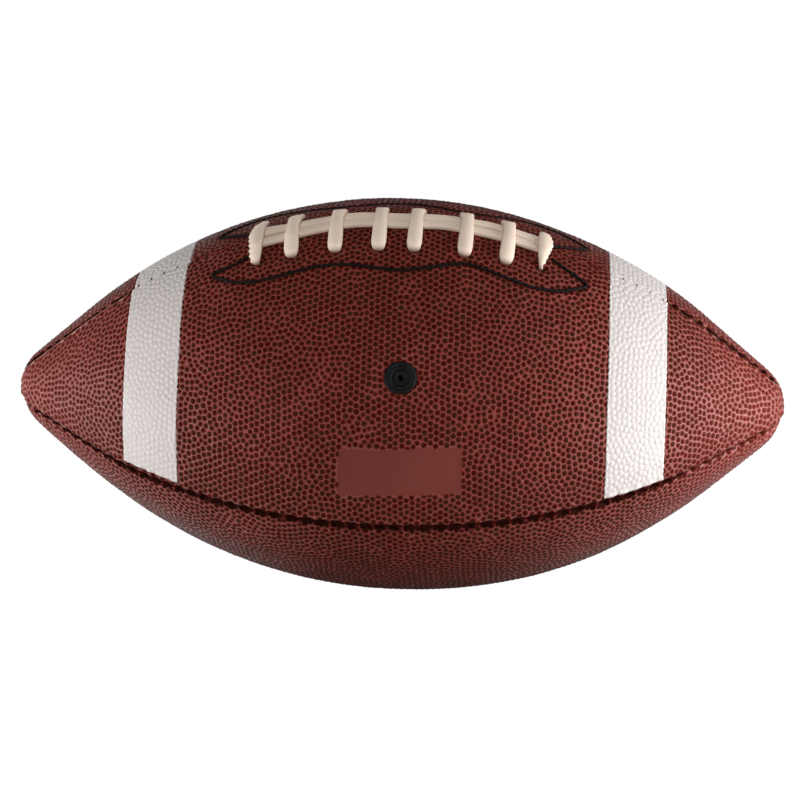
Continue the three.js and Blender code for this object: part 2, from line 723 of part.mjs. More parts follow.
function valveBodyGeometry() {
  const insideRadius = BELLY_RADIUS - BLADDER_DEPTH - BLADDER_THICKNESS;
  const sag = (radius) => insideRadius - Math.sqrt(insideRadius ** 2 - radius ** 2);
  const inside = BLADDER_DEPTH + BLADDER_THICKNESS + LAYER_CLEARANCE;
  const shoulder = -(inside + sag(VALVE_RADIUS));
  const rim = -(inside + sag(VALVE_FLANGE_RADIUS));
  const mouth = INSERT_HEAD_RADIUS + INSERT_CLEARANCE;
  const bore = INSERT_STEM_RADIUS + INSERT_CLEARANCE;
  const step = -(INSERT_HEAD_THICKNESS + INSERT_CLEARANCE);
  return latheGeometry([
    [bore, -VALVE_LENGTH],
    [VALVE_STEM_RADIUS, -VALVE_LENGTH],
    [VALVE_STEM_RADIUS, rim - VALVE_FLANGE_THICKNESS],
    [VALVE_FLANGE_RADIUS, rim - VALVE_FLANGE_THICKNESS],
    [VALVE_FLANGE_RADIUS, rim],
    [VALVE_RADIUS, shoulder],
    [VALVE_RADIUS, -VALVE_BEVEL],
    [VALVE_RADIUS - VALVE_BEVEL, 0],
    [mouth, 0],
    [mouth, step],
    [bore, step],
    [bore, -VALVE_LENGTH],
  ]);
}

function valveInsertGeometry() {
  const end = -(VALVE_LENGTH + INSERT_END_LENGTH);
  return latheGeometry([
    [0, end],
    [INSERT_STEM_RADIUS - VALVE_BEVEL, end],
    [INSERT_STEM_RADIUS, end + VALVE_BEVEL],
    [INSERT_STEM_RADIUS, -INSERT_HEAD_THICKNESS],
    [INSERT_HEAD_RADIUS, -INSERT_HEAD_THICKNESS],
    [INSERT_HEAD_RADIUS, 0],
    [NEEDLE_RADIUS, 0],
    [NEEDLE_RADIUS, -NEEDLE_DEPTH],
    [0, -NEEDLE_DEPTH - NEEDLE_RADIUS],
  ]);
}

const football = new THREE.Group();
football.name = "football";

function addPiece(name, geometry, look, parent = football) {
  const material = new THREE.MeshStandardMaterial({ ...look, metalness: 0 });
  const mesh = new THREE.Mesh(geometry, material);
  mesh.name = name;
  parent.add(mesh);
}

const frontHoles = laceHoles(-1);
const rearHoles = [...laceHoles(1), strandHole()];

const quarters = [
  { name: "lace_front", seam: FRONT_SEAM, holes: frontHoles, valve: true },
  { name: "lace_rear", seam: LACE_SEAM, holes: rearHoles, valve: false },
  { name: "lower_rear", seam: REAR_SEAM, holes: [], valve: false },
  { name: "lower_front", seam: BOTTOM_SEAM, holes: [], valve: false },
];
for (const { name, seam, holes, valve } of quarters) {
  const coverTools = valve ? [...holes, valveHole(VALVE_HOLE_CLEARANCE)] : holes;
  const liningTools = valve ? [...holes, valveHole(2 * VALVE_HOLE_CLEARANCE)] : holes;
  addPiece(`panel_${name}`, cutGeometry(panelGeometry(seam), coverTools), LEATHER);
  addPiece(`lining_${name}`, cutGeometry(liningGeometry(seam), liningTools), CLOTH);
}

const threadEnd = NOSE_START - SEAM_THREAD_END;
const seamThreads = [
  { name: "front", seam: FRONT_SEAM, from: -threadEnd, to: threadEnd },
  { name: "rear", seam: REAR_SEAM, from: -threadEnd, to: threadEnd },
  { name: "bottom", seam: BOTTOM_SEAM, from: -threadEnd, to: threadEnd },
  { name: "lace_left", seam: LACE_SEAM, from: -threadEnd, to: FIRST_STATION - LACE_SLIT_MARGIN },
  { name: "lace_right", seam: LACE_SEAM, from: LAST_STATION + LACE_SLIT_MARGIN, to: threadEnd },
];
for (const { name, seam, from, to } of seamThreads) {
  addPiece(`seam_thread_${name}`, seamThreadGeometry(seam, from, to), THREAD);
}

const laceSides = [
  { name: "front", side: -1, seam: FRONT_SEAM, holes: frontHoles },
  { name: "rear", side: 1, seam: LACE_SEAM, holes: rearHoles },
];
for (const { name, side, seam, holes } of laceSides) {
  addPiece(`lace_reinforcement_${name}`, cutGeometry(reinforcementGeometry(side), holes), CLOTH);
  addPiece(`reinforcement_stitching_${name}`, stitchGeometry(side), THREAD);
  addPiece(`stripe_${name}_left`, stripeGeometry(seam, -1), STRIPE_FILM);
  addPiece(`stripe_${name}_right`, stripeGeometry(seam, 1), STRIPE_FILM);
}

const sections = laceSections();
const { least, length } = leastSelfGap(sections);
console.log(`lace: ${length.toFixed(0)} mm long, least gap to itself ${least.toFixed(2)} mm`);
addPiece("lace", stripGeometry(sections), LACE_COAT);
addPiece("lace_flap", flapGeometry(), CLOTH);

const bladderTools = [bladderSkin(BLADDER_THICKNESS), valveHole(VALVE_HOLE_CLEARANCE)];
addPiece("bladder", cutGeometry(bladderSkin(0), bladderTools), BLADDER_RUBBER);

const valve = new THREE.Group();
valve.name = "valve";
valve.position.copy(valveSeat);
valve.quaternion.copy(valveTurn);
football.add(valve);
addPiece("valve_body", valveBodyGeometry(), VALVE_RUBBER, valve);
addPiece("valve_insert", valveInsertGeometry(), INSERT_RUBBER, valve);

export default football;
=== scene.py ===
"""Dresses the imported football: pebbled cover, white stripes, cream lacing, black stitching and valve.

Places on the ball are given by the distance along its outline from the belly, by the angle around the
X axis from the front seam, and by the lift above the cover's outer surface. Lengths are in metres.
"""
import logging
import math
from dataclasses import dataclass, field
from enum import Enum
from typing import Callable, Sequence

import bpy
import numpy as np
from mathutils import Matrix, Vector, geometry
from mathutils.kdtree import KDTree


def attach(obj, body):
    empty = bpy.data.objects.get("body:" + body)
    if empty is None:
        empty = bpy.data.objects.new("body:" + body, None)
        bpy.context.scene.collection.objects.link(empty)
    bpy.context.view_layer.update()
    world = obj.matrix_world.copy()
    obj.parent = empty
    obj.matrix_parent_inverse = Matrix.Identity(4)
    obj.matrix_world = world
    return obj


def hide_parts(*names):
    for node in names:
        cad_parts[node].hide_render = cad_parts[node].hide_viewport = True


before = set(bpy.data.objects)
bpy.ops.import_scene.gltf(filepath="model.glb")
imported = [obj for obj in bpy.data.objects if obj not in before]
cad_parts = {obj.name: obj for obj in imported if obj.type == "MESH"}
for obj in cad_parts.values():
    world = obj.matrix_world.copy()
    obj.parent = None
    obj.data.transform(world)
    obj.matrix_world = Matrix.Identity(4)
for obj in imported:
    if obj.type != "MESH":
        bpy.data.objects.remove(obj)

log = logging.getLogger("football")
MM = 0.001
BALL_BODY = "ball"
INSERT_BODY = "insert"
HALF_PANEL = math.pi / 4
LACE_SEAM = math.pi / 2
FAR = 1.0
WHITE = (1.0, 1.0, 1.0, 1.0)
WHOLE_HULL, INSIDE_TIES = 0, 1
MERGE_DISTANCE, CELL_MERGE_DISTANCE, LEAST_SPAN = 1e-7, 1e-9, 1e-12
Array = np.ndarray
Pair = tuple[float, float]
Sizes = tuple[float, float, float, float]
Curve = tuple[Pair, ...]
Tone = tuple[float, ...]
Piece = bpy.types.Object
Socket = bpy.types.NodeSocket
Places = tuple[Array, Array]
Region = Callable[[Array, Array], Array]


def colour(red: float, green: float, blue: float) -> tuple[float, float, float, float]:
    """Turns a screen colour into the linear colour that a shader socket takes.

    Args:
        red: Red, from 0 to 255.
        green: Green, from 0 to 255.
        blue: Blue, from 0 to 255.

    Returns:
        The linear colour with an alpha of 1.
    """
    shares = np.array([red, green, blue]) / 255
    linear = np.where(shares <= 0.04045, shares / 12.92, ((shares + 0.055) / 1.055) ** 2.4)
    return (*linear.tolist(), 1.0)


def ease(value: Array, low: float, high: float) -> Array:
    """Rises smoothly from 0 at low to 1 at high."""
    share = np.clip((value - low) / (high - low), 0, 1)
    return share * share * (3 - 2 * share)


def bell(value: Array, reach: float, middle: float = 0.0) -> Array:
    """Falls smoothly from 1 at the middle to nearly 0 at twice the reach."""
    return np.exp(-(((value - middle) / reach) ** 2))


def travelled_lengths(points: Array) -> Array:
    """Gives the length travelled along points, one a row, up to each of them."""
    return np.concatenate([[0], np.cumsum(np.linalg.norm(np.diff(points, axis=0), axis=1))])


def smooth_path(points: Array, spacing: float) -> Places:
    """Runs a smooth curve through points.

    Args:
        points: The points, one a row.
        spacing: The distance between the samples.

    Returns:
        The samples, and the place of each one counted in points.
    """
    padded = np.concatenate([2 * points[:1] - points[1:2], points, 2 * points[-1:] - points[-2:-1]])
    samples, places = [], []
    for order in range(len(points) - 1):
        before, start, stop, after = padded[order:order + 4]
        steps = max(2, math.ceil(np.linalg.norm(stop - start) / spacing))
        share = np.arange(steps)[:, None] / steps
        samples.append(
            start + 0.5 * share * (stop - before)
            + share ** 2 * (before - 2.5 * start + 2 * stop - 0.5 * after)
            + share ** 3 * (0.5 * (after - before) + 1.5 * (start - stop))
        )
        places.append(order + share[:, 0])
    return np.concatenate(samples + [points[-1:]]), np.concatenate(places + [[len(points) - 1.0]])


def search_tree(spots: Array) -> KDTree:
    """Makes a search tree over points, one a row."""
    tree = KDTree(len(spots))
    for number, spot in enumerate(spots.tolist()):
        tree.insert(spot, number)
    tree.balance()
    return tree


def mesh_object(
    name: str, points: Array, faces: list[list[int]], attributes: dict[str, Array] | None = None
) -> Piece:
    """Makes a smooth-shaded mesh object at the origin.

    Args:
        name: Name of the object and of its mesh.
        points: Vertices, one a row.
        faces: Vertex numbers of each face.
        attributes: Values on the vertices, by name.

    Returns:
        The new object.
    """
    mesh = bpy.data.meshes.new(name)
    mesh.from_pydata(points.tolist(), [], faces)
    for key, values in (attributes or {}).items():
        layer = mesh.attributes.new(key, "FLOAT", "POINT")
        layer.data.foreach_set("value", values.astype(np.float32))
    mesh.polygons.foreach_set("use_smooth", np.ones(len(mesh.polygons), dtype=bool))
    mesh.update()
    piece = bpy.data.objects.new(name, mesh)
    bpy.context.scene.collection.objects.link(piece)
    return piece


@dataclass
class BallForm:
    """Outline of the ball: a long arc over the belly, a straight cone, then a round nose."""

    half_length: float = 140 * MM
    belly_radius: float = 72.8 * MM
    nose_radius: float = 18 * MM
    cone: float = math.radians(40)
    seam_rise: float = 1.8 * MM
    nose_hole_radius: float = 0.9 * MM
    seam_stray: float = 2.4 * MM
    stray_range: Pair = (98 * MM, 106 * MM)
    stray_radius: float = 14 * MM
    table_steps: int = 4000

    def __post_init__(self) -> None:
        """Works out the lengths of the arc, the cone and the nose, and the table behind stretch."""
        self.nose_centre = self.half_length - self.nose_radius
        rise = self.nose_centre * math.sin(self.cone) + self.nose_radius - self.belly_radius
        self.drop = rise / (1 - math.cos(self.cone))
        self.arc_radius = self.belly_radius + self.drop
        self.arc_length = self.arc_radius * self.cone
        self.cone_start = self.arc_radius * math.sin(self.cone)
        nose_join = self.nose_centre + self.nose_radius * math.sin(self.cone)
        self.nose_start = self.arc_length + (nose_join - self.cone_start) / math.cos(self.cone)
        pole = self.nose_start + self.nose_radius * (math.pi / 2 - self.cone)
        self.end = pole - self.nose_radius * math.asin(self.nose_hole_radius / self.nose_radius)
        steps = np.linspace(0, self.end, self.table_steps)
        turn = 1 / self.meridian(steps)[1]
        stretched = np.concatenate([[0], np.cumsum(np.diff(steps) * (turn[1:] + turn[:-1]) / 2)])
        self.steps = np.concatenate([-steps[:0:-1], steps])
        self.stretched = np.concatenate([-stretched[:0:-1], stretched])

    def meridian(self, along: Array) -> tuple[Array, Array, Array]:
        """Gives the outline at distances along it.

        Args:
            along: Distances from the belly, positive to the right.

        Returns:
            Place on the X axis, radius, and lean of the outward direction towards the end.
        """
        distance = np.abs(along)
        on_arc = distance <= self.arc_length
        on_cone = ~on_arc & (distance <= self.nose_start)
        nose_turn = (distance - self.nose_start) / self.nose_radius
        nose_lean = np.clip(self.cone + nose_turn, 0, math.pi / 2)
        lean = np.where(on_arc, distance / self.arc_radius, np.where(on_cone, self.cone, nose_lean))
        beyond = distance - self.arc_length
        arc_x, arc_reach = self.arc_radius * np.sin(lean), self.arc_radius * np.cos(lean) - self.drop
        cone_x = self.cone_start + beyond * math.cos(self.cone)
        cone_reach = self.arc_radius * math.cos(self.cone) - self.drop - beyond * math.sin(self.cone)
        nose_x = self.nose_centre + self.nose_radius * np.sin(lean)
        nose_reach = self.nose_radius * np.cos(lean)
        x = np.where(on_arc, arc_x, np.where(on_cone, cone_x, nose_x))
        radius = np.where(on_arc, arc_reach, np.where(on_cone, cone_reach, nose_reach))
        side = np.sign(along)
        return side * x, radius, side * lean

    def radius(self, along: Array) -> Array:
        """Gives the radius at distances along the outline."""
        return self.meridian(np.asarray(along, dtype=float))[1]

    def points(self, along: Array, angle: Array, lift: Array | float) -> Array:
        """Gives points above the cover.

        The section bulges a little towards its four seams, and at the left end the lace seam strays to
        the front.

        Args:
            along: Distances along the outline.
            angle: Angles around the X axis.
            lift: Heights above the cover.

        Returns:
            The points, one a row.
        """
        x, radius, lean = self.meridian(np.asarray(along, dtype=float))
        stray = ease(-along, *self.stray_range) * np.clip(np.sin(angle), 0, 1) ** 2
        angle = angle - stray * self.seam_stray / np.maximum(radius, self.stray_radius)
        bulged = radius * (1 + self.seam_rise / self.belly_radius * np.cos(4 * angle))
        reach = bulged + lift * np.cos(lean)
        return np.stack(
            [x + lift * np.sin(lean), -reach * np.cos(angle), reach * np.sin(angle)], axis=-1
        )

    def directions(self, along: Array, angle: Array) -> tuple[Array, Array, Array]:
        """Gives the unit directions at places.

        Args:
            along: Distances along the outline.
            angle: Angles around the X axis.

        Returns:
            The directions along the ball, around it and outward.
        """
        lean = self.meridian(np.asarray(along, dtype=float))[2]
        flat = np.zeros_like(lean + angle)
        outward = np.stack(
            [np.sin(lean) + flat, -np.cos(lean) * np.cos(angle), np.cos(lean) * np.sin(angle)], axis=-1
        )
        around = np.stack([flat, np.sin(angle) + flat, np.cos(angle) + flat], axis=-1)
        return np.cross(around, outward), around, outward

    def across(self, along: Array, offset: Array) -> Array:
        """Gives the angle at a distance from the lace seam, positive to the rear."""
        return LACE_SEAM + offset / self.radius(along)

    def stretch(self, along: Array) -> Array:
        """Maps distances so that small shapes keep their proportions in a plane with the angle."""
        return np.interp(along, self.steps, self.stretched)

    def unstretch(self, stretched: Array) -> Array:
        """Turns the result of stretch back into distances along the outline."""
        return np.interp(stretched, self.stretched, self.steps)


class Quarter(Enum):
    """The four cover panels, each with its place in the turn from the front seam over the lacing."""

    LACE_FRONT = 0
    LACE_REAR = 1
    LOWER_REAR = 2
    LOWER_FRONT = 3

    @property
    def label(self) -> str:
        """The name that the panel's CAD nodes end in."""
        return self.name.lower()

    @property
    def middle(self) -> float:
        """Angle of the panel's middle line."""
        return (self.value + 0.5) * math.pi / 2

    @property
    def side(self) -> int:
        """Minus 1 in front of the lace seam, 1 behind it, 0 on the lower half."""
        return {0: -1, 1: 1}.get(self.value, 0)


class GrainedSheet:
    """Collects points spread over the ball and joins them to triangles."""

    def __init__(self, form: BallForm, middle: float) -> None:
        """Starts an empty sheet around a middle angle."""
        self.form = form
        self.middle = middle
        self.rows: list[Array] = []
        self.ties: list[Array] = []
        self.count = 0

    def add(
        self, along: Array, angle: Array, rise: Array | float = 0.0,
        top: Array | float = 0.0, crease: Array | float = 0.0, bare: float = 0.0,
        tint: Array | float = 0.5,
    ) -> Array:
        """Adds points.

        Args:
            along: Distances along the outline.
            angle: Angles around the X axis.
            rise: Heights of the grain there.
            top: Share of pebble top in the finish.
            crease: Share of crease between pebbles in the finish.
            bare: Share of smooth, unpressed surface in the finish.
            tint: Place of the pebble's tone between the finish's two tones.

        Returns:
            The numbers of the new points.
        """
        values = np.broadcast_arrays(along, angle, rise, top, crease, bare, tint)
        rows = np.stack([np.ravel(value) for value in values], axis=-1).astype(float)
        self.rows.append(rows)
        self.count += len(rows)
        return np.arange(self.count - len(rows), self.count)

    def tie(self, first: Array, second: Array) -> None:
        """Makes sure that these pairs of points become edges."""
        self.ties.append(np.stack([first, second], axis=-1))

    def ring(self, along: Array, angle: Array, **finish: Array | float) -> Array:
        """Adds a closed outline and returns the numbers of its points."""
        numbers = self.add(along, angle, **finish)
        self.tie(numbers, np.roll(numbers, -1))
        return numbers

    def join(self, holes: Sequence[Array]) -> tuple[Array, Array, Array]:
        """Joins the points to triangles inside the outermost outline.

        Args:
            holes: Point numbers of each outline that stays open.

        Returns:
            The rows of the points, the triangles, and the new number of each point that was added.
        """
        rows = np.concatenate(self.rows)
        plane = np.stack([self.form.stretch(rows[:, 0]), rows[:, 1] - self.middle], axis=-1)
        ties = np.concatenate(self.ties).tolist()
        spots, _, faces, origins, _, _ = geometry.delaunay_2d_cdt(
            [Vector(spot) for spot in plane.tolist()], ties, [], INSIDE_TIES, MERGE_DISTANCE
        )
        numbers = np.zeros(len(rows), dtype=int)
        merged = np.zeros((len(spots), rows.shape[1]))
        for number, origin in enumerate(origins):
            if origin:
                numbers[origin] = number
                merged[number] = rows[origin[0]]
            else:
                merged[number, 0] = self.form.unstretch(spots[number][0])
                merged[number, 1] = spots[number][1] + self.middle
        triangles = np.array(faces)
        for hole in holes:
            inside = np.isin(triangles, numbers[hole]).all(axis=1)
            triangles = triangles[~inside]
        return merged, triangles, numbers


@dataclass
class PebbleCells:
    """Pebble centres of one panel, the corners where their cells meet, and the edges between them."""

    along: Array
    angle: Array
    outer: Array
    height: Array
    turn: Array
    tint: Array
    tree: KDTree
    corner_along: Array
    corner_angle: Array
    corner_cells: Array
    edges: Array


@dataclass
class PebbleGrain:
    """The raised pebbles pressed into the cover: round tops on a net of fine creases."""

    form: BallForm
    pitch: float = 2.27 * MM
    height: float = 0.34 * MM
    height_shares: Pair = (0.75, 1.1)
    least_radius: float = 0.72 * MM
    top_radius: float = 1.02 * MM
    slope: float = 0.24 * MM
    crease_room: float = 0.06 * MM
    scatter_share: float = 0.27
    settle_rounds: int = 8
    edge_margin: float = 4 * MM
    neighbours: int = 7
    push_reach: float = 1.2
    push_share: float = 0.45
    inner_points: int = 6
    inner_share: float = 0.84
    outer_points: int = 7
    outer_share: float = 0.3
    foot: float = 1.6
    seed: int = 11

    def cells(self, quarter: Quarter) -> PebbleCells:
        """Spreads the pebbles of one panel.

        Args:
            quarter: The panel.

        Returns:
            The pebbles and the cells around them, a little past the panel's edges.
        """
        rng = np.random.default_rng(self.seed + quarter.value)
        along_rows, angle_rows = [], []
        row_step = self.pitch * math.sqrt(3) / 2
        for order, place in enumerate(np.arange(-self.form.end, self.form.end, row_step)):
            radius = float(self.form.radius(place))
            reach = radius * HALF_PANEL + self.edge_margin
            offsets = np.arange(-reach, reach, self.pitch) + order % 2 * self.pitch / 2
            along_rows.append(np.full(len(offsets), place))
            angle_rows.append(quarter.middle + np.clip(offsets / radius, -math.pi, math.pi))
        along, angle = np.concatenate(along_rows), np.concatenate(angle_rows)
        scatter = self.scatter_share * self.pitch
        along = along + rng.normal(0, scatter, len(along))
        angle = angle + rng.normal(0, scatter, len(angle)) / self.form.radius(along)
        for _ in range(self.settle_rounds):
            along, angle = self.settle(along, angle)
        spots = self.form.points(along, angle, 0.0)
        tree = search_tree(spots)
        spacing = np.array([tree.find_n(spot, 2)[1][2] for spot in spots.tolist()])
        count = len(along)
        return PebbleCells(
            along, angle,
            np.clip(0.5 * spacing - self.crease_room, self.least_radius, self.top_radius),
            self.height * rng.uniform(*self.height_shares, count),
            rng.uniform(0, 2 * math.pi, count),
            rng.uniform(0, 1, count),
            tree,
            *self.corners(quarter, along, angle),
        )

    def settle(self, along: Array, angle: Array) -> Places:
        """Moves each pebble a little away from those that crowd it.

        Args:
            along: Distances of the pebbles along the outline.
            angle: Their angles.

        Returns:
            The new distances and angles.
        """
        spots = self.form.points(along, angle, 0.0)
        tree = search_tree(spots)
        found = [tree.find_n(spot, self.neighbours + 1) for spot in spots.tolist()]
        near = np.array([[hit[1] for hit in hits] for hits in found])
        away = spots[:, None] - spots[near[:, 1:]]
        distance = np.maximum(np.linalg.norm(away, axis=2), 0.01 * MM)
        weight = np.clip(1 - distance / (self.push_reach * self.pitch), 0, None) / distance
        push = (away * weight[..., None]).sum(axis=1) * self.pitch * self.push_share
        forward, around, _ = self.form.directions(along, angle)
        moved = np.clip(along + (push * forward).sum(axis=1), -self.form.end, self.form.end)
        turned = angle + (push * around).sum(axis=1) / self.form.radius(along)
        return moved, turned

    def corners(
        self, quarter: Quarter, along: Array, angle: Array
    ) -> tuple[Array, Array, Array, Array]:
        """Finds where the cells around the pebbles meet.

        Args:
            quarter: The panel.
            along: Distances of the pebbles along the outline.
            angle: Their angles.

        Returns:
            The distances and angles of the corners, the pebbles around each one, and the pairs of
            corners that an edge between two cells joins.
        """
        plane = np.stack([self.form.stretch(along), angle - quarter.middle], axis=-1)
        _, _, faces, origins, _, _ = geometry.delaunay_2d_cdt(
            [Vector(spot) for spot in plane.tolist()], [], [], WHOLE_HULL, CELL_MERGE_DISTANCE
        )
        triangles = np.array([origin[0] for origin in origins])[np.array(faces)]
        first, second, third = (plane[triangles[:, corner]] for corner in range(3))
        one, two = second - first, third - first
        span = 2 * (one[:, 0] * two[:, 1] - one[:, 1] * two[:, 0])
        span = np.where(np.abs(span) < LEAST_SPAN, LEAST_SPAN, span)
        one_square, two_square = (one ** 2).sum(axis=1), (two ** 2).sum(axis=1)
        x = first[:, 0] + (two[:, 1] * one_square - one[:, 1] * two_square) / span
        y = first[:, 1] + (one[:, 0] * two_square - two[:, 0] * one_square) / span
        sides = np.concatenate([triangles[:, pair] for pair in ([0, 1], [1, 2], [2, 0])])
        sides = np.sort(sides, axis=1)
        owners = np.tile(np.arange(len(triangles)), 3)
        order = np.lexsort((sides[:, 1], sides[:, 0]))
        sides, owners = sides[order], owners[order]
        shared = (sides[1:] == sides[:-1]).all(axis=1)
        edges = np.stack([owners[:-1][shared], owners[1:][shared]], axis=-1)
        limit = self.form.stretched[-1]
        return self.form.unstretch(np.clip(x, -limit, limit)), y + quarter.middle, triangles, edges

    def sample(self, cells: PebbleCells, along: Array, angle: Array) -> dict[str, Array]:
        """Gives the grain at places.

        Args:
            cells: The panel's pebbles.
            along: Distances along the outline.
            angle: Angles around the X axis.

        Returns:
            The height, the share of pebble top and the tint.
        """
        hits = [cells.tree.find(spot) for spot in self.form.points(along, angle, 0.0).tolist()]
        near = np.array([hit[1] for hit in hits])
        beyond = (np.array([hit[2] for hit in hits]) - cells.outer[near]) / self.slope + 1
        shares = [1, self.inner_share, self.outer_share, 0]
        rise = cells.height[near] * np.interp(beyond, [-3, 0, 1, self.foot], shares)
        return {"rise": rise, "top": 1 - ease(beyond, 0, 1), "tint": cells.tint[near]}

    def press(
        self, sheet: GrainedSheet, cells: PebbleCells, chosen: Array, inside: Region,
        strength: float = 1.0,
    ) -> None:
        """Presses pebbles into a sheet.

        Args:
            sheet: The sheet that takes the points.
            cells: The panel's pebbles.
            chosen: Which of the pebbles it gets.
            inside: Says which places may take points.
            strength: Share of the full height.
        """
        height = strength * cells.height
        given = (cells.along, cells.angle, height, cells.turn, cells.outer, cells.tint)
        along, angle, height, turn, outer, tint = (values[chosen][:, None] for values in given)
        radius = sheet.form.radius(along)
        whole = inside(along, angle)
        sheet.add(along[whole], angle[whole], height[whole], top=1.0, tint=tint[whole])
        rings = (
            (self.inner_points, outer - self.slope, self.inner_share, 1.0),
            (self.outer_points, outer, self.outer_share, 0.0),
        )
        for count, reach, share, top in rings:
            swing = turn + 2 * math.pi * np.arange(count) / count
            ring_along = along + reach * np.cos(swing)
            ring_angle = angle + reach * np.sin(swing) / radius
            allowed = inside(ring_along, ring_angle)
            ring_rise, ring_tint = (
                np.broadcast_to(value, ring_along.shape)[allowed] for value in (share * height, tint)
            )
            sheet.add(ring_along[allowed], ring_angle[allowed], ring_rise, top=top, tint=ring_tint)
        corners = (cells.corner_along, cells.corner_angle)
        used = chosen[cells.corner_cells].any(axis=1) & inside(*corners)
        numbers = np.full(len(used), -1)
        numbers[used] = sheet.add(*(values[used] for values in corners), crease=1.0)
        ends = numbers[cells.edges]
        kept = (ends >= 0).all(axis=1)
        sheet.tie(ends[kept, 0], ends[kept, 1])


@dataclass
class Opening:
    """A rounded slot or round hole through a panel, around which the cover dips."""

    along: float
    angle: float
    half_length: float
    half_width: float
    dip: float
    dip_reach: float
    points: int = 18

    def offsets(self, form: BallForm, along: Array, angle: Array) -> Array:
        """Gives the distance of places outside the opening's edge, negative inside it."""
        radius = float(form.radius(self.along))
        wide = np.abs(along - self.along) - (self.half_length - self.half_width)
        tall = np.abs(angle - self.angle) * radius
        return np.hypot(np.maximum(wide, 0), tall) - self.half_width

    def outline(self, form: BallForm) -> Places:
        """Gives the opening's edge, turning the way that an opening's edge must."""
        radius = float(form.radius(self.along))
        swing = -2 * math.pi * (np.arange(self.points) + 0.5) / self.points
        straight = np.sign(np.cos(swing)) * (self.half_length - self.half_width)
        along = self.along + straight + self.half_width * np.cos(swing)
        return along, self.angle + self.half_width * np.sin(swing) / radius


class CrossingEnd(Enum):
    """How a crossing narrows: shares of its width on its right and left edge.

    The three pairs are for the front hole, the middle over the strands and the rear hole.
    """

    PLAIN = ((1.0, 1.08), (0.9, 0.88), (0.92, 0.9))
    FLARED_RIGHT = ((1.0, 1.08), (0.9, 0.88), (1.2, 0.75))
    FLARED_LEFT = ((1.0, 1.1), (0.92, 0.9), (0.75, 1.25))
    LEFT = ((0.55, 1.0), (1.0, 1.25), (1.0, -0.3))
    RIGHT = ((0.25, 0.45), (1.25, 1.0), (0.25, 0.65))


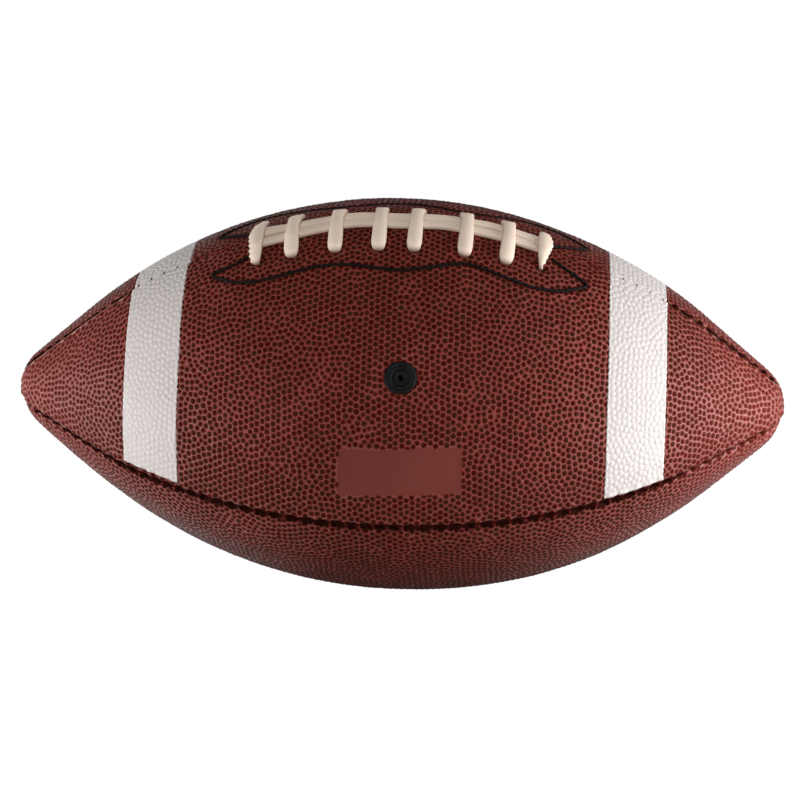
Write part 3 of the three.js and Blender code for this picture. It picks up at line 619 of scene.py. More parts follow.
@dataclass
class Lacing:
    """The one flat lace: two strands along the seam, and eight crossings over them."""

    form: BallForm
    width: float = 5.0 * MM
    strand_share: float = 0.79
    thickness: float = 1.75 * MM
    rest: float = 0.98 * MM
    crest: float = 2.72 * MM
    inner: float = -6.75 * MM
    strand: float = 2.1 * MM
    hole_offset: float = 11.3 * MM
    lean: float = -0.15 * MM
    bend: float = 1.5 * MM
    slot: Sizes = (2.2 * MM, 1.1 * MM, 0.4 * MM, 1.2 * MM)
    dive_hole: Sizes = (2.7 * MM, 2.7 * MM, 0.2 * MM, 1.0 * MM)
    dive_shift: float = 0.7 * MM
    last_shorter: float = 1.5 * MM
    middle_rise: float = 0.12 * MM
    spread_starts: Pair = (0.35, 0.2)
    spread_span: float = 0.6
    inner_share: float = 0.55
    # Lifts over which the painted shade of the lace's ends fades out.
    tuck_range: Pair = (-0.7 * MM, 0.9 * MM)
    ripple: Sizes = (0.36 * MM, 2.1 * MM, 2.3 * MM, 14 * MM)
    ripple_range: Pair = (-2.5 * MM, -0.5 * MM)
    strand_steps: int = 13
    turn_steps: int = 9
    spacing: float = 0.7 * MM
    strand_path: tuple[tuple[float, float, float], ...] = (
        (-49.7, -3.3, 2.2), (-44, -3.0, 2.3), (-30, -1.1, 3.4), (-21.8, 0.3, 4.4), (-14, 1.4, 5.5),
        (-6.4, 0.55, 4.7), (-1, 0.15, 4.3), (6, 0.45, 4.65), (15, 1.1, 5.3), (24, 0.5, 5.0),
        (32, -0.1, 4.9), (45, -1.0, 3.2), (51.1, -2.1, 2.1),
    )
    stations: Tone = tuple(
        place * MM for place in (-49.7, -37.0, -21.5, -6.25, 6.1, 23.7, 38.4, 51.1)
    )
    ends: tuple[CrossingEnd, ...] = (
        CrossingEnd.LEFT, CrossingEnd.FLARED_RIGHT, CrossingEnd.FLARED_RIGHT, CrossingEnd.PLAIN,
        CrossingEnd.FLARED_RIGHT, CrossingEnd.FLARED_LEFT, CrossingEnd.FLARED_LEFT, CrossingEnd.RIGHT,
    )
    section: Curve = (
        (1.0, 0.0), (0.975, 0.55), (0.88, 0.9), (0.74, 0.98), (0.66, 0.78), (0.58, 0.99), (0.25, 1.0),
        (-0.25, 0.95), (-0.7, 0.99), (-0.88, 0.88), (-0.975, 0.5), (-1.0, 0.0), (-0.97, -0.5),
        (-0.86, -0.92), (0.0, -1.0), (0.86, -0.92), (0.97, -0.5),
    )

    def openings(self, side: int) -> list[Opening]:
        """Gives the holes for the lace in one of the two lace panels.

        Args:
            side: Minus 1 for the front panel, 1 for the rear one.

        Returns:
            One slot for each crossing, and the strand's hole on the rear side.
        """
        holes = []
        for order, station in enumerate(self.stations):
            along = station - side * self.lean
            angle = float(self.form.across(along, side * self.hole(order)))
            holes.append(Opening(along, angle, *self.slot))
        if side > 0:
            place = self.stations[0]
            angle = float(self.form.across(place, self.strands(place)[1] + self.dive_shift))
            holes.append(Opening(place, angle, *self.dive_hole))
        return holes

    def hole(self, order: int) -> float:
        """Gives the distance of a crossing's holes from the seam: the last one is shorter."""
        return self.hole_offset - (self.last_shorter if order + 1 == len(self.stations) else 0.0)

    def strands(self, place: float) -> Pair:
        """Gives the distances of the front and the rear strand from the seam at a place along it."""
        along, front, rear = np.array(self.strand_path).T * MM
        return float(np.interp(place, along, front)), float(np.interp(place, along, rear))

    def route(self) -> Array:
        """Gives the lace's route.

        Returns:
            A row for each point: along, across, lift, the two parts of its width's direction (along
            and around), and the shares of its width on its two edges.
        """
        rows: list[tuple[float, ...]] = []
        full = (1.0, 1.0)
        slim = (self.strand_share, self.strand_share)
        first, last = self.stations[0], self.stations[-1]
        turn = last - self.width / 4 - self.strand
        for place in np.linspace(first - self.width / 4, turn, self.strand_steps)[:-1]:
            rows.append((place, self.strands(place)[0], self.rest, 0.0, 1.0, *slim))
        for swing in np.linspace(-math.pi / 2, math.pi / 2, self.turn_steps):
            front, rear = self.strands(turn)
            across = (front + rear) / 2 + (rear - front) / 2 * math.sin(swing)
            wide = (-math.cos(swing), -math.sin(swing))
            rows.append((turn + self.strand * math.cos(swing), across, self.rest, *wide, *slim))
        dive = first
        for place in np.linspace(turn, dive + 2 * self.bend, self.strand_steps)[1:-1]:
            rows.append((place, self.strands(place)[1], self.rest, 0.0, -1.0, *slim))
        beside = self.strands(dive)[1] + self.dive_shift
        bend, rest, inner = self.bend, self.rest, self.inner
        rows += [
            (dive + bend, beside, rest, 0.0, -1.0, *full),
            (dive + bend / 3, beside, rest - bend / 3, 0.0, -1.0, *full),
            (dive, beside, rest - bend, 0.0, -1.0, *full),
            (dive, beside, inner / 2, 1.0, -1.0, *full),
            (dive, beside, inner + bend, 1.0, 0.0, *full),
            (dive, beside - bend / 3, inner + bend / 3, 1.0, 0.0, *full),
            (dive, beside - bend, inner, 1.0, 0.0, *full),
            (dive + self.lean, -self.hole_offset + 2 * bend, inner, 1.0, 0.0, *full),
        ]
        for order, station in enumerate(self.stations):
            rows += self.crossing(order, station)
        return np.array(rows)

    def crossing(self, order: int, station: float) -> list[tuple[float, ...]]:
        """Gives one crossing's part of the route, and the run inside to the next one.

        Args:
            order: Number of the crossing, from the left.
            station: Its place along the seam.

        Returns:
            Rows as in route.
        """
        hole = self.hole(order)
        strands = self.strands(station)
        reach = self.strand_share * self.width / 2
        front_shares, middle_shares, rear_shares = self.ends[order].value
        halves = []
        for side, strand, (right, left), start in zip(
            (-1, 1), strands, (front_shares, rear_shares), self.spread_starts
        ):
            half = []
            for across, lift, share in self.rise(hole, reach + side * strand):
                spread = min(1.0, max(0.0, (across - start * hole) / (self.spread_span * hole)))
                shares = (share * (1 + (right - 1) * spread), share * (1 + (left - 1) * spread))
                along = station - side * self.lean * across / hole
                half.append((along, side * across, lift, 1.0, 0.0, *shares))
            halves.append(half)
        top = (station, sum(strands) / 2, self.crest + self.middle_rise, 1.0, 0.0, *middle_shares)
        rows = [*halves[0], top, *reversed(halves[1])]
        last = order + 1 == len(self.stations)
        following = station + 2 * self.width if last else self.stations[order + 1]
        middle = (station + following) / 2
        inner = self.inner_share * hole
        for offset in (inner, 0.0) if last else (inner, 0.0, -inner):
            rows.append((middle, offset, self.inner, 1.0, 0.0, 1.0, 1.0))
        return rows

    def rise(self, hole: float, edge: float) -> list[tuple[float, float, float]]:
        """Gives half a crossing: out of its hole and up to the outer edge of the strand beneath it.

        Args:
            hole: Distance of the hole from the seam.
            edge: Distance of the strand's outer edge from the seam.

        Returns:
            Distance from the seam, lift, and share of the lace's width, from the inside up.
        """
        bend, rest, inner = self.bend, self.rest, self.inner
        shoulder = hole - 1.5 * bend
        return [
            (hole - bend, inner, 0.9),
            (hole - bend / 3, inner + bend / 3, 0.8),
            (hole, inner + bend, 0.7),
            (hole, rest - 1.7 * bend, 0.5),
            (hole, rest - 1.1 * bend, 0.66),
            (hole - 0.15 * bend, rest - 0.6 * bend, 0.84),
            (hole - 0.6 * bend, rest - 0.15 * bend, 0.95),
            (shoulder, rest + 0.2 * bend, 1.03),
            ((shoulder + edge) / 2, 0.42 * rest + 0.58 * self.crest, 1.03),
            (edge, self.crest, 1.0),
        ]

    def build(self) -> Piece:
        """Makes the lace one closed strip along its route."""
        route = self.route()
        angle = self.form.across(route[:, 0], route[:, 1])
        points = self.form.points(route[:, 0], angle, route[:, 2])
        forward, around, _ = self.form.directions(route[:, 0], angle)
        widths = forward * route[:, 3:4] + around * route[:, 4:5]
        path, places = smooth_path(points, self.spacing)
        numbers = np.arange(len(route))
        wide = np.stack([np.interp(places, numbers, widths[:, axis]) for axis in range(3)], axis=-1)
        tangent = np.gradient(path, axis=0)
        tangent /= np.linalg.norm(tangent, axis=1, keepdims=True)
        wide -= tangent * (wide * tangent).sum(axis=1, keepdims=True)
        wide /= np.linalg.norm(wide, axis=1, keepdims=True)
        raised = np.cross(tangent, wide)
        shares = [np.interp(places, numbers, route[:, 5 + edge]) for edge in range(2)]
        ripple, outer_side = self.ripples(path)
        half, thick = self.width / 2, self.thickness / 2
        rings = []
        for sideways, up in self.section:
            reach = half * sideways * (shares[0] if sideways > 0 else shares[1])
            reach = reach + sideways * abs(sideways) ** 2 * ripple * (outer_side == np.sign(sideways))
            rings.append(path + wide * reach[:, None] + raised * (thick * up))
        sides, count = len(self.section), len(path)
        vertices = np.stack(rings, axis=1).reshape(-1, 3)
        row, column = np.meshgrid(np.arange(count - 1), np.arange(sides), indexing="ij")
        following = (column + 1) % sides
        here, there = row * sides, (row + 1) * sides
        corners = [here + column, here + following, there + following, there + column]
        faces = np.stack(corners, axis=-1).reshape(-1, 4).tolist()
        faces += [list(range(sides))[::-1], [(count - 1) * sides + side for side in range(sides)]]
        edge = np.tile(np.array([abs(sideways) for sideways, _ in self.section]), count)
        # Painted shade on the lace where it dives toward its holes, by how low it lies.
        deep = 1 - ease(np.interp(places, numbers, route[:, 2]), *self.tuck_range)
        attributes = {"edge": edge, "deep": np.repeat(deep, sides)}
        return mesh_object("lace_strip", vertices, faces, attributes)

    def ripples(self, path: Array) -> Places:
        """Gives the small waves in the outer edges of the two end crossings.

        Args:
            path: Points along the lace, one a row.

        Returns:
            The waves' heights, and the side that they are on.
        """
        travelled = travelled_lengths(path)
        height, pitch, sway, depth = self.ripple
        centre = 0.5 * (self.stations[0] + self.stations[-1])
        outer = np.abs(path[:, 0] - centre) - (self.stations[-1] - self.stations[0]) / 2
        near = ease(outer, *self.ripple_range) * (path[:, 2] > self.form.belly_radius - depth)
        wave = np.sin(travelled * 2 * math.pi / pitch + 0.8 * np.sin(travelled / sway))
        return near * height * wave, np.sign(path[:, 0] - centre)


@dataclass
class EdgeStitching:
    """The line of black stitches around the lacing, which holds the reinforcement behind it."""

    form: BallForm
    side: int
    length: float = 2.5 * MM
    overlap: float = 0.25 * MM
    thread_radius: float = 0.52 * MM
    lift: float = -0.02 * MM
    drift: float = 0.09 * MM
    slant: float = 0.07
    spacing: float = 0.2 * MM
    seed: int = 5
    outline: Curve = (
        (-66.8, 11.6), (-60.7, 16.3), (-54.8, 18.7), (-50, 19.7),
        (-43.4, 19.7), (-38, 19.2), (-29.9, 18.2), (-24.6, 17.7), (-19, 18), (-13.8, 18.6),
        (-5.7, 20.1), (2.6, 20.5), (10.4, 19.1), (15.6, 17.5), (20.9, 16.2), (24.5, 15.6),
        (31.5, 16.7), (39.7, 18.5), (48, 19.5), (56.3, 18.2), (61.8, 15.7), (67.8, 11.7),
    )
    front_ends: Curve = (
        (-52, 7.1), (-55.8, 8.9), (-61.3, 10.4), (65.3, 9.4), (60.6, 7.3), (54.4, 4.0),
    )
    rear_ends: Curve = (
        (-52, 4.2), (-55.8, 6.0), (-61.3, 8.8), (65.3, 8.4), (60.6, 6.1), (54.4, 2.8),
    )

    def path(self, spacing: float) -> Places:
        """Gives places along and angles of the stitching, at a spacing."""
        ends = self.front_ends if self.side < 0 else self.rear_ends
        places, _ = smooth_path(np.array((*ends[:3], *self.outline, *ends[3:])) * MM, spacing)
        return places[:, 0], self.form.across(places[:, 0], self.side * places[:, 1])

    def build(self, stitch: "Stitch") -> Piece:
        """Lays stitches end to end along the line.

        Args:
            stitch: The stitch to copy.

        Returns:
            One object with all the stitches.
        """
        along, angle = self.path(self.spacing)
        points = self.form.points(along, angle, self.lift)
        travelled = travelled_lengths(points)
        starts = np.arange(0, travelled[-1] - self.length, self.length - self.overlap)
        drift = np.random.default_rng(self.seed).normal(0, self.drift, len(starts))
        frames = []
        for order, start in enumerate(starts):
            tail, head = (
                np.array([np.interp(spot, travelled, points[:, axis]) for axis in range(3)])
                for spot in (start, start + self.length)
            )
            centre = np.interp(start + self.length / 2, travelled, np.arange(len(along)))
            number = int(round(float(centre)))
            outward = self.form.directions(along[number], angle[number])[2]
            ahead = (head - tail) / np.linalg.norm(head - tail)
            beside = np.cross(outward, ahead)
            ahead = ahead + beside * self.slant * (1 if order % 2 else -1)
            spot = points[number] + beside * drift[order]
            frames.append((spot, ahead, outward, self.length / 2, self.thread_radius))
        label = "front" if self.side < 0 else "rear"
        return stitch.lay(f"edge_stitches_{label}", frames)


class Stitch:
    """One plump stitch, modelled once and laid many times."""

    sag_share = 0.35

    def __init__(self) -> None:
        """Models the stitch as a short rounded bar of unit length and radius."""
        bpy.ops.object.select_all(action="DESELECT")
        bpy.ops.mesh.primitive_cylinder_add(
            vertices=8, radius=1.0, depth=2.0, end_fill_type="TRIFAN", rotation=(0, math.pi / 2, 0)
        )
        bar = bpy.context.object
        bpy.ops.object.transform_apply(rotation=True)
        bpy.ops.object.mode_set(mode="EDIT")
        bpy.ops.mesh.select_all(action="SELECT")
        bpy.ops.mesh.subdivide(number_cuts=1)
        bpy.ops.object.mode_set(mode="OBJECT")
        bevel = bar.modifiers.new("ends", "BEVEL")
        bevel.width = 0.45
        bevel.segments = 2
        bevel.limit_method = "ANGLE"
        bevel.angle_limit = math.radians(60)
        bpy.ops.object.modifier_apply(modifier=bevel.name)
        self.points = np.array([vertex.co[:] for vertex in bar.data.vertices])
        self.faces = [list(face.vertices) for face in bar.data.polygons]
        bpy.data.meshes.remove(bar.data)

    def lay(
        self, name: str, frames: Sequence[tuple[Array, Array, Array, float, float]]
    ) -> Piece:
        """Copies the stitch to places.

        Args:
            name: Name of the new object.
            frames: For each stitch its centre, its direction, the outward direction, half its length
                and its radius.

        Returns:
            One object with all the stitches.
        """
        points, faces = [], []
        for order, (centre, ahead, outward, half, radius) in enumerate(frames):
            ahead = ahead / np.linalg.norm(ahead)
            beside = np.cross(outward, ahead)
            beside = beside / np.linalg.norm(beside)
            raised = np.cross(ahead, beside)
            sag = -self.sag_share * radius * self.points[:, :1] ** 2
            points.append(
                centre + self.points[:, :1] * half * ahead + self.points[:, 1:2] * radius * beside
                + (self.points[:, 2:3] * radius + sag) * raised
            )
            first = order * len(self.points)
            faces += [[first + number for number in face] for face in self.faces]
        return mesh_object(name, np.concatenate(points), faces)


@dataclass
class SeamSewing:
    """The sewing at the bottom of a seam: a run of thread, and the stitches that cross the groove."""

    form: BallForm
    label: str
    angle: float
    start: float
    stop: float
    bar_lift: float
    hidden_lift: float = -1.2 * MM
    pitch: float = 5.6 * MM
    bar_half: float = 0.66 * MM
    bar_radius: float = 0.25 * MM
    run_radius: float = 0.3 * MM
    run_lift: float = -1.5 * MM
    bar_slant: float = 0.25
    run_share: float = 0.56

    def build(self, stitch: Stitch) -> Piece:
        """Lays the run of thread and the crossing stitches.

        Args:
            stitch: The stitch to copy.

        Returns:
            One object with the whole sewing.
        """
        count = int((self.stop - self.start) / self.pitch)
        places = self.start + self.pitch * (np.arange(count) + 0.5)
        frames = []
        for place in places:
            forward, around, outward = self.form.directions(place, self.angle)
            shown = Stripe().depth_inside(np.array(place), np.array(FAR)) > 0
            spot = self.form.points(place, self.angle, self.bar_lift if shown else self.hidden_lift)
            ahead = around + self.bar_slant * forward
            frames.append((spot, ahead, outward, self.bar_half, self.bar_radius))
            low = self.form.points(place, self.angle, self.run_lift)
            frames.append((low, forward, outward, self.pitch * self.run_share, self.run_radius))
        return stitch.lay(f"seam_stitches_{self.label}", frames)


@dataclass
class Stripe:
    """Where a white stripe lies on a lace panel."""

    start: float = 77 * MM
    width: float = 23.6 * MM
    left_shift: float = 0.0

    def depth_inside(self, along: Array, room: Array) -> Array:
        """Gives how far places lie inside either stripe, with their room up to the seams."""
        distance = np.where(along < 0, -along - self.left_shift, along)
        ends = np.minimum(distance - self.start, self.start + self.width - distance)
        return np.minimum(ends, room)


@dataclass(frozen=True)
class SmoothPatch:
    """The bare smooth rectangle on the front lace panel, a little aslant."""

    left: float = -16.9 * MM
    right: float = 25 * MM
    low: float = math.radians(9.5)
    high: float = math.radians(21.9)
    tilt: float = math.radians(1.2)

    def creep(self, along: Array) -> Array:
        """Gives the angle by which the slant has lifted the patch at places."""
        return self.tilt * (along - self.left) / (self.right - self.left)

    def depth_inside(self, along: Array, angle: Array, radius: Array) -> Array:
        """Gives how far places lie inside the patch, negative outside."""
        level = angle - self.creep(along)
        ends = np.minimum(along - self.left, self.right - along)
        return np.minimum(ends, np.minimum(level - self.low, self.high - level) * radius)


@dataclass(frozen=True)
class Clearance:
    """Distances in millimetres that the grain keeps from what borders it."""

    seam: float
    tight: float
    end: float
    opening: float
    patch: float
    stripe: float
    crest: float = -1.0


POINT_ROOM = Clearance(seam=0.7, tight=0.4, end=0.3, opening=0.15, patch=0.15, stripe=1.0, crest=0.35)
PEBBLE_ROOM = Clearance(seam=0.72, tight=1.12, end=1.0, opening=0.3, patch=0.25, stripe=0.6)


@dataclass
class CoverPanel:
    """One pebbled cover panel with rolled, puckered seam edges, and its stripes where it has any."""

    form: BallForm
    quarter: Quarter
    grain: PebbleGrain
    openings: list[Opening] = field(default_factory=list)
    stitching: EdgeStitching | None = None
    stripe: Stripe | None = None
    patch: SmoothPatch | None = None
    thickness: float = 2 * MM
    fullness: Curve = ((0, 0),)
    closed_gap: float = 0.06 * MM
    open_gap: float = 0.3 * MM
    lace_gap: float = 0.015 * MM
    lace_roll: float = 0.8 * MM
    roll_width: float = 2.4 * MM
    lip: float = 0.0
    recess: float = 0.0
    groove_depth: float = 1.65 * MM
    lace_depth: float = 0.22 * MM
    tight_reach: float = 102.5 * MM
    nose_shade: float = 0.0
    crest: float = 0.0
    pucker_pitch: float = 5.3 * MM
    pucker_depth: float = 0.26 * MM
    valley: float = -0.16 * MM
    edge_step: float = 0.8 * MM
    film_thickness: float = 0.3 * MM
    film_lift: float = 0.1 * MM
    film_margins: Pair = (1.5 * MM, 1.5 * MM)
    film_lace_margin: float = 0.05 * MM
    film_sink: float = 0.45 * MM
    film_grain: float = 0.62
    film_wave: Sizes = (0.24 * MM, 2.25 * MM, 5 * MM, 0.05 * MM)
    film_far_share: float = 0.35
    film_grid: tuple[int, int] = (27, 130)
    film_seed: int = 31
    patch_grid: tuple[int, int] = (40, 18)
    shade_reach: float = 0.3 * MM
    nose_range: Pair = (92 * MM, 116 * MM)
    slack_losses: Pair = (0.5, 0.7)
    tip_range: Pair = (1 * MM, 12 * MM)
    recess_range: Pair = (5 * MM, 17 * MM)
    lip_bell: Pair = (1.0 * MM, 1.3 * MM)
    swell_bell: Pair = (2.0 * MM, 0.8 * MM)
    stitch_dip: Pair = (0.4 * MM, 0.85 * MM)
    stitch_shade: Pair = (0.7, 0.9 * MM)
    stitch_bounds: Pair = (74 * MM, 0.45)
    least_thickness: float = 0.15 * MM
    bulge: float = 0.12 * MM
    pucker_sway: Pair = (0.9, 13 * MM)
    calm_share: float = 0.15

    def __post_init__(self) -> None:
        """Spreads the pebbles and prepares the stitching's groove."""
        self.cells = self.grain.cells(self.quarter)
        self.groove = None
        if self.stitching:
            along, angle = self.stitching.path(0.4 * MM)
            self.groove = search_tree(self.form.points(along, angle, 0.0))

    def seam_distance(self, along: Array, angle: Array) -> Array:
        """Gives the distance of places from the nearest long seam."""
        return (HALF_PANEL - np.abs(angle - self.quarter.middle)) * self.form.radius(along)

    def tight(self, along: Array, angle: Array) -> Array:
        """Gives how tightly the lace seam is drawn beside places, from 0 to 1."""
        loose = ease(np.abs(along), self.tight_reach - 5 * MM, self.tight_reach)
        return self.beside_lace(angle) * (1 - loose)

    def beside_lace(self, angle: Array) -> Array:
        """Says which places are nearer to the lace seam than to the panel's other seam."""
        return np.sin(angle) > math.sqrt(0.5)

    def nose(self, along: Array) -> Array:
        """Gives how far places lie toward the ball's ends, from 0 at the belly to 1."""
        return ease(np.abs(along), *self.nose_range)

    def slack(self, along: Array) -> Array:
        """Gives how far the seams stay open toward the ends, more at the left one."""
        return 1 - np.where(along < 0, *self.slack_losses) * self.nose(along)

    def margin(self, along: Array) -> Array:
        """Gives the distance of the stripes from the outer seam, at the left and the right end."""
        return np.where(np.asarray(along) < 0, *self.film_margins)

    def pucker(self, along: Array, angle: Array) -> Array:
        """Gives the puckers of the nearest seam, which both its panels share.

        Args:
            along: Distances along the outline.
            angle: Angles around the X axis.

        Returns:
            The puckers, from minus 1 to 1.
        """
        seam = (self.quarter.value + (angle > self.quarter.middle)) % len(Quarter)
        sway, length = self.pucker_sway
        phase = 2 * math.pi * along / self.pucker_pitch + sway * np.sin(along / length + seam)
        smooth = self.beside_lace(angle) & (along < -self.tight_reach)
        return np.where(smooth, self.calm_share, 1.0) * np.cos(phase)

    def edge_gap(self, along: Array, side: int) -> Array:
        """Gives how wide a seam is: closed at each pucker, open between them.

        Args:
            along: Distances along the outline.
            side: Minus 1 for the panel's first long edge, 1 for its second one.

        Returns:
            Half the width.
        """
        angle = np.full(np.shape(along), self.quarter.middle + side * 0.2 * math.pi)
        nub = np.clip(self.pucker(along, angle), 0, 1) ** 2 * (1 - 0.85 * self.nose(along))
        wide = self.open_gap * np.where(np.sin(angle) < -0.5, 0.6, 1.0) * self.slack(along)
        wide = np.minimum(wide, 0.25 * self.form.radius(along))
        loose = self.closed_gap + (wide - self.closed_gap) * (1 - 0.6 * nub)
        return loose + (self.lace_gap - loose) * self.tight(along, angle)

    def edge_angle(self, along: Array, side: int, margin: float) -> Array:
        """Gives the angle at a distance inside one of the two long edges."""
        reach = (self.edge_gap(along, side) + margin) / self.form.radius(along)
        return self.quarter.middle + side * (HALF_PANEL - reach)

    def patch_depth(self, along: Array, angle: Array) -> Array:
        """Gives how far places lie inside the smooth patch, negative outside."""
        if self.patch is None:
            return np.full(np.shape(along), -FAR)
        return self.patch.depth_inside(along, angle, self.form.radius(along))

    def stripe_depth(self, along: Array, angle: Array) -> Array:
        """Gives how far places lie inside the panel's stripes, negative outside."""
        if self.stripe is None:
            return np.full(np.shape(along), -FAR)
        margin = np.where(self.beside_lace(angle), self.film_lace_margin, self.margin(along))
        return self.stripe.depth_inside(along, self.seam_distance(along, angle) - margin)

    def opening_distance(self, along: Array, angle: Array) -> Array:
        """Gives the distance of places from the nearest opening's edge."""
        nearest = np.full(np.shape(along), FAR)
        for opening in self.openings:
            nearest = np.minimum(nearest, opening.offsets(self.form, along, angle))
        return nearest

    def relief(self, along: Array, angle: Array) -> Array:
        """Gives the cover's lift without its pebbles.

        Args:
            along: Distances along the outline.
            angle: Angles around the X axis.

        Returns:
            Lift from the seam rolls, the puckers beside the stitches, the fullness, the stitching's
            groove and the holes.
        """
        radius = self.form.radius(along)
        seam = np.maximum(self.seam_distance(along, angle), self.closed_gap)
        pucker = self.pucker(along, angle)
        tip = ease(radius, *self.tip_range)
        tight = self.tight(along, angle)
        roll = self.roll_width * (1 - 0.15 * pucker)
        roll = roll + (self.lace_roll - roll) * tight
        roll = np.minimum(roll, 0.75 * radius * HALF_PANEL)
        share = np.clip((roll - seam) / np.maximum(roll - self.closed_gap, 0.05 * MM), 0, 1)
        deep = self.groove_depth * (0.75 + 0.25 * tip)
        deep = (deep + (self.lace_depth - deep) * tight) * (0.82 - 0.18 * pucker)
        lift = self.valley - deep * (1 - np.sqrt(1 - share ** 2))
        lift = lift + (1 - 0.8 * tight) * self.lip * bell(seam, *self.lip_bell)
        swell = (tip + (0.25 - tip) * tight) * self.pucker_depth * pucker
        lift = lift + swell * bell(seam, *self.swell_bell)
        places, lifts = np.array(self.fullness).T * MM
        lift = lift + np.interp(along, places, lifts) * np.cos(2 * (angle - self.quarter.middle)) ** 2
        lengthwise = np.sin(along / (17 * MM) + 2 * self.quarter.value)
        lift = lift + self.bulge * lengthwise * np.sin(angle * 9 + along / (31 * MM))
        for opening in self.openings:
            outside = np.maximum(opening.offsets(self.form, along, angle), 0)
            lift = lift - opening.dip * bell(outside, opening.dip_reach)
        if self.groove is not None:
            depth, reach = self.stitch_dip
            lift = lift - depth * bell(self.groove_distance(along, angle), reach)
        lift = lift - self.recess * (1 - ease(radius, *self.recess_range))
        return np.maximum(lift, self.least_thickness - self.thickness)

    def shade(self, along: Array, angle: Array) -> Array:
        """Gives the painted shade in open seams, beside the lace seam at the ends and beside the
        stitching.

        Args:
            along: Distances along the outline.
            angle: Angles around the X axis.

        Returns:
            The painted shade, from 0 to 1.
        """
        upper = angle > self.quarter.middle
        gap = np.where(upper, self.edge_gap(along, 1), self.edge_gap(along, -1))
        wide = (gap - self.closed_gap) / (self.open_gap - self.closed_gap)
        wide = np.clip(wide * (1 + 1.2 * self.nose(along)), 0, 1)
        reach = self.shade_reach * self.slack(along)
        seam = self.seam_distance(along, angle)
        dark = wide * (1 - ease(seam - gap, 0.1 * reach, reach))
        if self.nose_shade:
            open_seam = self.beside_lace(angle) * (1 - self.tight(along, angle))
            near = 1 - ease(seam, 0.6 * self.nose_shade, self.nose_shade)
            dark = np.maximum(dark, open_seam * near)
        if self.groove is None:
            return dark
        strength, reach = self.stitch_shade
        return np.maximum(dark, strength * bell(self.groove_distance(along, angle), reach))

    def groove_distance(self, along: Array, angle: Array) -> Array:
        """Gives the distance of places from the stitching.

        Args:
            along: Distances along the outline.
            angle: Angles around the X axis.

        Returns:
            The distance, or FAR where a place is nowhere near.
        """
        distance = np.full(np.shape(along), FAR)
        end, turn = self.stitch_bounds
        near = np.flatnonzero((np.abs(along) < end) & (np.abs(angle - LACE_SEAM) < turn))
        spots = self.form.points(along[near], angle[near], 0.0)
        distance[near] = [self.groove.find(spot)[2] for spot in spots.tolist()]
        return distance

    def crest_distance(self, along: Array, angle: Array) -> Array:
        """Gives the distance of places from the sharp crest beside the left end's lace seam."""
        beside = (self.crest > 0) & self.beside_lace(angle) & (along < -self.tight_reach)
        return np.where(beside, np.abs(self.seam_distance(along, angle) - self.crest), FAR)

    def free(self, along: Array, angle: Array, room: Clearance) -> Array:
        """Says which places keep their distance from all that borders the pebbles."""
        tight = self.tight(along, angle)
        return (
            (self.seam_distance(along, angle) > (room.seam - room.tight * tight) * MM)
            & (self.crest_distance(along, angle) > room.crest * MM)
            & (np.abs(along) < self.form.end - room.end * MM)
            & (self.opening_distance(along, angle) > room.opening * MM)
            & (self.patch_depth(along, angle) < -room.patch * MM)
            & (self.stripe_depth(along, angle) < room.stripe * MM)
        )

    def grain_at(self, along: Array, angle: Array) -> dict[str, Array]:
        """Gives the grain at places of the panel."""
        return self.grain.sample(self.cells, along, angle)

    def sheets(self) -> tuple[GrainedSheet, GrainedSheet]:
        """Starts the front and the back of a piece."""
        front, back = (GrainedSheet(self.form, self.quarter.middle) for _ in range(2))
        return front, back

    def edge_ring(self) -> Places:
        """Gives the panel's edge: along one seam, across the tip, and back along the other seam."""
        steps = math.ceil(2 * self.form.end / self.edge_step)
        along = np.linspace(-self.form.end, self.form.end, steps)
        low = self.edge_angle(along, -1, 0.0)
        high = self.edge_angle(along[::-1], 1, 0.0)
        return np.concatenate([along, along[::-1]]), np.concatenate([low, high])

    def build(self) -> Piece:
        """Makes the pebbled panel one closed mesh."""
        front, back = self.sheets()
        outlines = [self.edge_ring()] + [opening.outline(self.form) for opening in self.openings]
        rings = [front.ring(*outline, **self.grain_at(*outline)) for outline in outlines]
        for outline in outlines:
            back.ring(*outline)
        self.add_edge_rows(front)
        self.add_patch(front)
        if self.stripe:
            self.add_coarse(front, 3 * MM, lambda *place: self.stripe_depth(*place) > 1.2 * MM)

        def inside(along: Array, angle: Array) -> Array:
            """Says which places of the panel may take points of the grain."""
            return self.free(along, angle, POINT_ROOM)

        chosen = self.free(self.cells.along, self.cells.angle, PEBBLE_ROOM)
        self.grain.press(front, self.cells, chosen, inside)
        self.add_coarse(back, 9 * MM)
        name = f"cover_{self.quarter.label}"
        return self.close(name, front, back, rings, self.thickness, 0.0, True)

    def add_edge_rows(self, sheet: GrainedSheet) -> None:
        """Adds points along both rolled edges, with the grain that runs into the seam there, and at the
        left end a raised row along the crest that carries a painted highlight.
        """
        steps = math.ceil(2 * self.form.end / self.edge_step)
        along = np.linspace(-self.form.end + 1.5 * MM, self.form.end - 1.5 * MM, steps)
        for side in (-1, 1):
            angle = self.edge_angle(along, side, 0.17 * MM)
            sheet.add(along, angle, **self.grain_at(along, angle))
        if self.crest:
            along = np.arange(-self.form.end + 4 * MM, -self.tight_reach, 0.5 * MM)
            angle = LACE_SEAM - self.crest / self.form.radius(along)
            # Crease values above 1 paint a highlight along the crest.
            worn = 1.6 + 0.4 * np.sin(along / (1.7 * MM) + 2 * np.sin(along / (4.3 * MM)))
            sheet.add(along, angle, rise=0.34 * MM, crease=worn)

